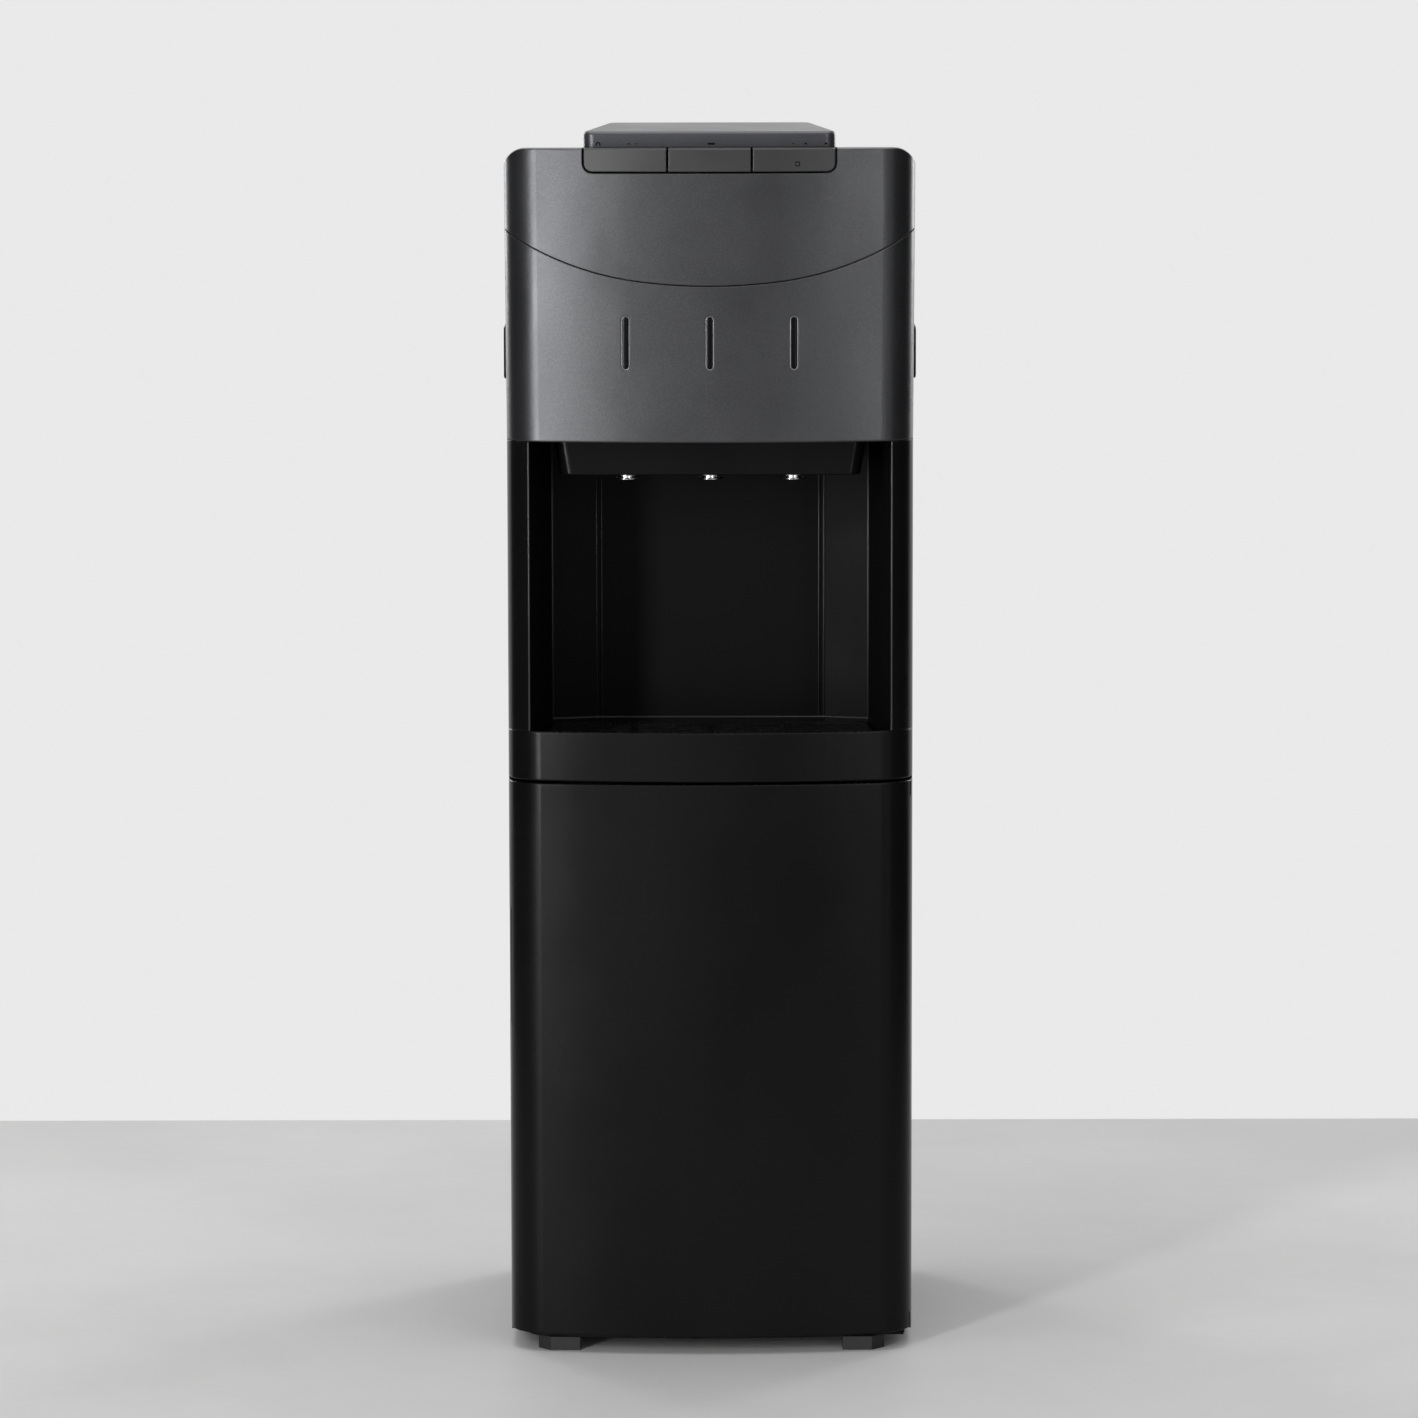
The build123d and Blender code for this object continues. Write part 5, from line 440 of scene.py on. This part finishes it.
def piece(name, bm, body, slot, finish=None):
    """Makes an object of a mesh, smooth, in its slot's finish, riding on a body."""
    bmesh.ops.recalc_face_normals(bm, faces=bm.faces)
    mesh = bpy.data.meshes.new(name)
    bm.to_mesh(mesh)
    bm.free()
    for face in mesh.polygons:
        face.use_smooth = True
    mesh.materials.append(finish or FINISHES[slot])
    made = bpy.data.objects.new(name, mesh)
    bpy.context.scene.collection.objects.link(made)
    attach(made, body)
    return made


def bead(bm, path, radius, across=DEPTHWISE, closed=False):
    """A round bead along a path; across is a direction the path never runs in. Open ends are domed."""
    path = [Vector(p) for p in path]
    across = Vector(across)
    if closed:
        spots = [(p, path[(i + 1) % len(path)] - path[i - 1], 1.0) for i, p in enumerate(path)]
    else:
        first, last = (path[1] - path[0]).normalized(), (path[-1] - path[-2]).normalized()
        spots = [(path[0] - first * radius * out, first, share) for out, share in DOME_STEPS]
        for i, p in enumerate(path):
            spots.append((p, path[min(i + 1, len(path) - 1)] - path[max(i - 1, 0)], 1.0))
        spots += [(path[-1] + last * radius * out, last, share) for out, share in reversed(DOME_STEPS)]
    turns = [2.0 * pi * k / BEAD_SIDES for k in range(BEAD_SIDES)]
    rings = []
    for middle, along, share in spots:
        side = along.cross(across).normalized()
        up = side.cross(along).normalized()
        rings.append([bm.verts.new(middle + (side * cos(a) + up * sin(a)) * radius * share) for a in turns])
    pairs = list(zip(rings, rings[1:])) + ([(rings[-1], rings[0])] if closed else [])
    for one, two in pairs:
        for k in range(BEAD_SIDES):
            bm.faces.new([one[k], one[(k + 1) % BEAD_SIDES], two[(k + 1) % BEAD_SIDES], two[k]])
    if not closed:
        bm.faces.new(rings[0][::-1])
        bm.faces.new(rings[-1])


def bow_y(x):
    """How far forward the bowed front stands at x."""
    return FRONT_Y + BOW_R - sqrt(BOW_R ** 2 - x ** 2)


WINDOW_HALF_W, WINDOW_HALF_H = 0.00375, 0.0230
WINDOW_END_STEPS = 12
RIM_R = 0.00062
RIM_SUNK = 0.00005      # the ring's front behind the bow
BAR_INSET = 1.6 * RIM_R
BAR_CROWN = ((1.0, 0.00045), (0.82, 0.00028), (0.55, 0.00016), (0.25, 0.0001))    # share of width, depth


def window_outline(x, half_w, half_h, behind):
    """Points round an upright slot with round ends, set a little behind the bowed front."""
    low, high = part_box("indicator_lenses")
    middle_z = 0.5 * (low.z + high.z)
    straight = half_h - half_w
    points = []
    for end, start in ((1.0, 0.0), (-1.0, pi)):
        for k in range(WINDOW_END_STEPS + 1):
            a = start + pi * k / WINDOW_END_STEPS
            px = x + half_w * cos(a)
            points.append(Vector((px, bow_y(px) + behind, middle_z + end * straight + half_w * sin(a))))
    return points


def window_rims():
    """The ring round each window, a real bead painted a lighter grey as a highlight on the slot's edge, and
    the dark convex bar within it.
    """
    for side, x in zip(SIDES, STATION_XS):
        bm = bmesh.new()
        line = window_outline(x, WINDOW_HALF_W - RIM_R, WINDOW_HALF_H - RIM_R, RIM_R + RIM_SUNK)
        bead(bm, line, RIM_R, closed=True)
        piece("window_rim_" + side, bm, "cabinet", "console_gloss", RIM_HIGHLIGHT_FINISH)
        bm = bmesh.new()
        rings = []
        for share, behind in BAR_CROWN:
            half_w = (WINDOW_HALF_W - BAR_INSET) * share
            half_h = WINDOW_HALF_H - BAR_INSET - (WINDOW_HALF_W - BAR_INSET) * (1.0 - share)
            rings.append([bm.verts.new(p) for p in window_outline(x, half_w, half_h, behind)])
        count = len(rings[0])
        for one, two in zip(rings, rings[1:]):
            for k in range(count):
                bm.faces.new([one[k], one[(k + 1) % count], two[(k + 1) % count], two[k]])
        bm.faces.new(rings[-1])
        piece("window_bar_" + side, bm, "cabinet", "window_clear")


NICHE_LOW_Z, NICHE_TOP_Z, GROOVE_TOP_Z = 0.5225, 0.7765, 0.7560
NICHE_CORNER, FACET_END = (0.1370, 0.0045), (0.0995, 0.0155)      # x and y on the right side
GROOVE_EDGES_X, GROOVE_EDGE_Y = (0.0944, 0.0988), 0.0158
CORNER_BEAD_R, GROOVE_BEAD_R, POST_BEAD_R = 0.0010, 0.0006, 0.0008
POST_LOW_Z, POST_TOP_Z = 0.5350, 0.7785
POST_BEAD_IN, POST_BEAD_BACK = 0.0003, 0.0006
POST_EDGE_REACH = 0.0004    # how near the inner face a point of the post's front edge lies


def niche_beads():
    """Thin rounded beads in the corners of the niche, beside its grooves and on the posts, real relief in a
    grey lighter than the moulding as a painted highlight on these edges.
    """
    bm = bmesh.new()
    for side in (-1.0, 1.0):
        x, y = side * NICHE_CORNER[0], NICHE_CORNER[1]
        bead(bm, [(x, y, NICHE_LOW_Z), (x, y, NICHE_TOP_Z)], CORNER_BEAD_R)
        for edge_x in GROOVE_EDGES_X:
            x = side * edge_x
            bead(bm, [(x, GROOVE_EDGE_Y, NICHE_LOW_Z), (x, GROOVE_EDGE_Y, GROOVE_TOP_Z)], GROOVE_BEAD_R)
    floor_line = [(-NICHE_CORNER[0], NICHE_CORNER[1]), (-FACET_END[0], FACET_END[1]), FACET_END, NICHE_CORNER]
    bead(bm, [(x, y, NICHE_LOW_Z) for x, y in floor_line], CORNER_BEAD_R, across=UPWARD)
    piece("niche_beads", bm, "cabinet", "black_moulding", BEAD_HIGHLIGHT_FINISH)
    posts = frame["nodes"]["front_posts"].data.vertices
    inner_x = min(abs(v.co.x) for v in posts)
    edge_y = min(v.co.y for v in posts if abs(v.co.x) < inner_x + POST_EDGE_REACH)
    bm = bmesh.new()
    for side in (-1.0, 1.0):
        x, y = side * (inner_x + POST_BEAD_IN), edge_y + POST_BEAD_BACK
        bead(bm, [(x, y, POST_LOW_Z), (x, y, POST_TOP_Z)], POST_BEAD_R)
    piece("post_edge_beads", bm, "cabinet", "black_moulding", BEAD_HIGHLIGHT_FINISH)


SPOUT_RING_UPS = (0.0012, 0.0046)   # above the tip
SPOUT_RING_R, SPOUT_RING_IN = 0.0006, 0.0002
SPOUT_RING_STEPS = 40


def spout_rings():
    """Two rolled rings near the tip of each spout."""
    low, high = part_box("spouts")
    middle_y, radius = 0.5 * (low.y + high.y), 0.5 * (high.y - low.y) - SPOUT_RING_IN
    turns = [2.0 * pi * k / SPOUT_RING_STEPS for k in range(SPOUT_RING_STEPS)]
    for side, x in zip(SIDES, STATION_XS):
        bm = bmesh.new()
        for up in SPOUT_RING_UPS:
            line = [(x + radius * cos(a), middle_y + radius * sin(a), low.z + up) for a in turns]
            bead(bm, line, SPOUT_RING_R, across=UPWARD, closed=True)
        piece("spout_rings_" + side, bm, "cabinet", "bright_chrome")


GASKET_HALF_W, GASKET_LOW_Z, GASKET_TOP_Z = 0.1440, 0.0400, 0.4560
GASKET_CORNER_R, GASKET_R, GASKET_PROUD = 0.0120, 0.0016, 0.0010
GASKET_CORNER_STEPS = 6


def door_gasket():
    """Soft round seal on the inner skin of the door, held to it all the way round."""
    middle_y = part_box("door_liner")[1].y + GASKET_PROUD
    right_x, left_x = GASKET_HALF_W - GASKET_CORNER_R, GASKET_CORNER_R - GASKET_HALF_W
    top_z, low_z = GASKET_TOP_Z - GASKET_CORNER_R, GASKET_LOW_Z + GASKET_CORNER_R
    path = []
    for quarter, (x, z) in enumerate(((right_x, top_z), (left_x, top_z), (left_x, low_z), (right_x, low_z))):
        for k in range(GASKET_CORNER_STEPS + 1):
            a = 0.5 * pi * quarter + 0.5 * pi * k / GASKET_CORNER_STEPS
            path.append((x + GASKET_CORNER_R * cos(a), middle_y, z + GASKET_CORNER_R * sin(a)))
    bm = bmesh.new()
    bead(bm, path, GASKET_R, closed=True)
    piece("door_gasket", bm, "door", "soft_rubber")


MARK_PRESSED = 0.15         # share of a bead's thickness that a mark keeps
MARK_UP = 0.0030            # middle of the marks above the top of the crown
ARC_MARK_X, ARC_MARK_DOWN, ARC_MARK_R = -0.0934, 0.0009, 0.00050
ARC_MARK_HALF_W, ARC_MARK_H, ARC_MARK_STEPS = 0.0017, 0.0021, 10
DASH_MARKS = ((-0.0675, 0.0004, 0.0005), (-0.0612, 0.0003, 0.0004), (0.0014, 0.0023, 0.00085),
              (0.0806, 0.0003, 0.0008), (0.0700, 0.0003, 0.0004), (0.0976, 0.0003, 0.0009))  # x, half, radius
SQUARE_MARK_X, SQUARE_MARK_Z, SQUARE_MARK_HALF, SQUARE_MARK_R = 0.0735, 1.0108, 0.0016, 0.00055


def flattened(bm, front):
    """Presses a mesh against a front surface, given as its y at x."""
    for vert in bm.verts:
        y = front(vert.co.x)
        vert.co.y = y + (vert.co.y - y) * MARK_PRESSED


def key_marks():
    """Small plain marks: an arc, dots and a dash above the keys, and a small square on the right key."""
    face_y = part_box("console_pod")[0].y
    base_z = HEAD_TOP + MARK_UP
    bm = bmesh.new()
    arc = []
    for k in range(ARC_MARK_STEPS + 1):
        a = pi * k / ARC_MARK_STEPS
        x = ARC_MARK_X + ARC_MARK_HALF_W * cos(a)
        arc.append((x, face_y, base_z - ARC_MARK_DOWN + ARC_MARK_H * sin(a)))
    bead(bm, arc, ARC_MARK_R)
    for x, half, radius in DASH_MARKS:
        bead(bm, [(x - half, face_y, base_z), (x + half, face_y, base_z)], radius)
    flattened(bm, lambda x: face_y)
    piece("console_marks", bm, "cabinet", "console_gloss", MARK_FINISH)
    bm = bmesh.new()
    y = bow_y(SQUARE_MARK_X)
    square = []
    for across, up in ((-1, 0), (1, 0), (1, 2), (-1, 2)):
        square.append((SQUARE_MARK_X + SQUARE_MARK_HALF * across, y, SQUARE_MARK_Z + SQUARE_MARK_HALF * up))
    bead(bm, square, SQUARE_MARK_R, closed=True)
    flattened(bm, bow_y)
    piece("key_mark_right", bm, "right_key", "key_plastic", MARK_FINISH)


def rubber_domes():
    """The domes under the keys, copied into meshes of their own that ride on the cabinet."""
    for side in SIDES:
        node = frame["nodes"]["dome_" + side]
        bm = bmesh.new()
        bm.from_mesh(node.data)
        dome = piece("rubber_dome_" + side, bm, "cabinet", "soft_rubber")
        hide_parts("dome_" + side)
        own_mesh(dome)


window_rims()
niche_beads()
spout_rings()
door_gasket()
key_marks()
rubber_domes()


# ---------------------------------------------------------------- stage, camera and lights
def floor_material():
    f = Finish("studio_floor", 0.6)
    mottle = f.t.noise(f.where, 1.6, 6.0, 0.6)
    f.colour = f.t.blend(f.t.ramp(mottle, 0.3, 0.7), (0.50, 0.50, 0.49), (0.57, 0.57, 0.56))
    f.raise_by(f.t.noise(f.where, 60.0, 4.0, 0.6))
    return f.done(0.0004)


FLOOR_BACK = 0.885      # the floor ends this far behind the object's middle
FLOOR_SIDE = 1.6


def studio_floor():
    bm = bmesh.new()
    corners = [(-FLOOR_SIDE, -FLOOR_SIDE), (FLOOR_SIDE, -FLOOR_SIDE), (FLOOR_SIDE, FLOOR_BACK),
               (-FLOOR_SIDE, FLOOR_BACK)]
    bm.faces.new([bm.verts.new((x, y, 0.0)) for x, y in corners])
    mesh = bpy.data.meshes.new("studio_floor")
    bm.to_mesh(mesh)
    mesh.materials.append(floor_material())
    floor = bpy.data.objects.new("studio_floor", mesh)
    bpy.context.scene.collection.objects.link(floor)


def world():
    """Pale surroundings for camera, glossy and transmitted rays, softer for the light they give."""
    surround = bpy.data.worlds.new("studio")
    bpy.context.scene.world = surround
    surround.use_nodes = True
    surround.node_tree.nodes.clear()
    t = Tree(surround.node_tree)
    path = t.add("ShaderNodeLightPath").outputs
    seen = t.maths("MAXIMUM", path["Is Camera Ray"], t.maths("MAXIMUM", path["Is Glossy Ray"],
                                                            path["Is Transmission Ray"]))
    pale = t.add("ShaderNodeBackground", {"Color": (0.82, 0.82, 0.82, 1.0), "Strength": 1.0})
    soft = t.add("ShaderNodeBackground", {"Color": (0.80, 0.82, 0.85, 1.0), "Strength": 0.35})
    mix = t.add("ShaderNodeMixShader", {0: seen, 1: soft.outputs[0], 2: pale.outputs[0]})
    out = t.add("ShaderNodeOutputWorld")
    t.tree.links.new(mix.outputs[0], out.inputs[0])


CAMERA_AHEAD = 5.600    # in front of the foremost line
CAMERA_HEIGHT = 1.270
CAMERA_DOWN = 7.277     # degrees
CAMERA_LENS = 170.28
CAMERA_ROLL = 0.10      # degrees


def camera():
    data = bpy.data.cameras.new("camera")
    data.lens, data.sensor_width = CAMERA_LENS, 36.0
    data.clip_end = 100.0
    eye = bpy.data.objects.new("camera", data)
    bpy.context.scene.collection.objects.link(eye)
    eye.location = (0.0, FRONT_Y - CAMERA_AHEAD, CAMERA_HEIGHT)
    eye.rotation_euler = (radians(90.0 - CAMERA_DOWN), radians(CAMERA_ROLL), 0.0)
    bpy.context.scene.camera = eye


def lamp(name, place, aim, width, height, power):
    """A soft white box aimed at a point."""
    data = bpy.data.lights.new(name, "AREA")
    data.shape, data.size, data.size_y = "RECTANGLE", width, height
    data.energy = power
    box = bpy.data.objects.new(name, data)
    bpy.context.scene.collection.objects.link(box)
    box.location = place
    box.rotation_euler = (Vector(aim) - Vector(place)).to_track_quat("-Z", "Y").to_euler()


MIDDLE = (0.0, 0.0, 0.55)
LAMPS = (       # name, place, aim, width, height, power in watts
    ("key_left", (-1.99, -3.59, 1.2), MIDDLE, 0.40, 2.6, 118.0),
    ("fill_right", (1.60, -3.77, 1.2), MIDDLE, 0.20, 2.2, 16.0),
    ("overhead", (0.0, 0.0, 3.2), (0.0, 0.0, 0.0), 3.0, 3.0, 60.0),
    ("rear_left", (-2.2, 3.0, 1.6), MIDDLE, 0.8, 2.0, 35.0),
    ("rear_right", (2.4, 2.8, 1.6), MIDDLE, 0.8, 2.0, 35.0),
)


def lights():
    for name, place, aim, width, height, power in LAMPS:
        lamp(name, place, aim, width, height, power)


# Cards that only reflections see: (name, brightness, corner, side, side)
SIDE_CARD_X, SIDE_CARD_NEAR, SIDE_CARD_FAR = 2.4, -2.0, 1.6
FRONT_CARD_Y, FRONT_CARD_HALF, FRONT_CARD_STEP = -8.0, 8.0, -0.35
CARD_LOW, CARD_HIGH = -4.0, 4.5
CARDS = (
    ("card_left", 0.03, (-SIDE_CARD_X, SIDE_CARD_NEAR), (-SIDE_CARD_X, SIDE_CARD_FAR)),
    ("card_right", 0.03, (SIDE_CARD_X, SIDE_CARD_NEAR), (SIDE_CARD_X, SIDE_CARD_FAR)),
    ("card_front_left", 1.05, (-FRONT_CARD_HALF, FRONT_CARD_Y), (FRONT_CARD_STEP, FRONT_CARD_Y)),
    ("card_front_right", 0.40, (FRONT_CARD_STEP, FRONT_CARD_Y), (FRONT_CARD_HALF, FRONT_CARD_Y)),
)


def reflected_cards():
    """Dim cards beside and before the object, which give the round corners their dark bands."""
    for name, brightness, start, end in CARDS:
        paper = bpy.data.materials.new(name + "_paper")
        paper.use_nodes = True
        shader = paper.node_tree.nodes["Principled BSDF"].inputs
        shader["Base Color"].default_value = (0.0, 0.0, 0.0, 1.0)
        shader["Specular IOR Level"].default_value = 0.0
        shader["Emission Color"].default_value = (1.0, 1.0, 1.0, 1.0)
        shader["Emission Strength"].default_value = brightness
        bm = bmesh.new()
        bm.faces.new([bm.verts.new(p) for p in ((*start, CARD_LOW), (*end, CARD_LOW), (*end, CARD_HIGH),
                                                (*start, CARD_HIGH))])
        mesh = bpy.data.meshes.new(name)
        bm.to_mesh(mesh)
        mesh.materials.append(paper)
        card = bpy.data.objects.new(name, mesh)
        bpy.context.scene.collection.objects.link(card)
        card.visible_camera = card.visible_diffuse = card.visible_shadow = False
        card.visible_transmission = card.visible_volume_scatter = False


studio_floor()
reflected_cards()
world()
camera()
lights()

view_settings = bpy.context.scene.view_settings
view_settings.view_transform = "Standard"
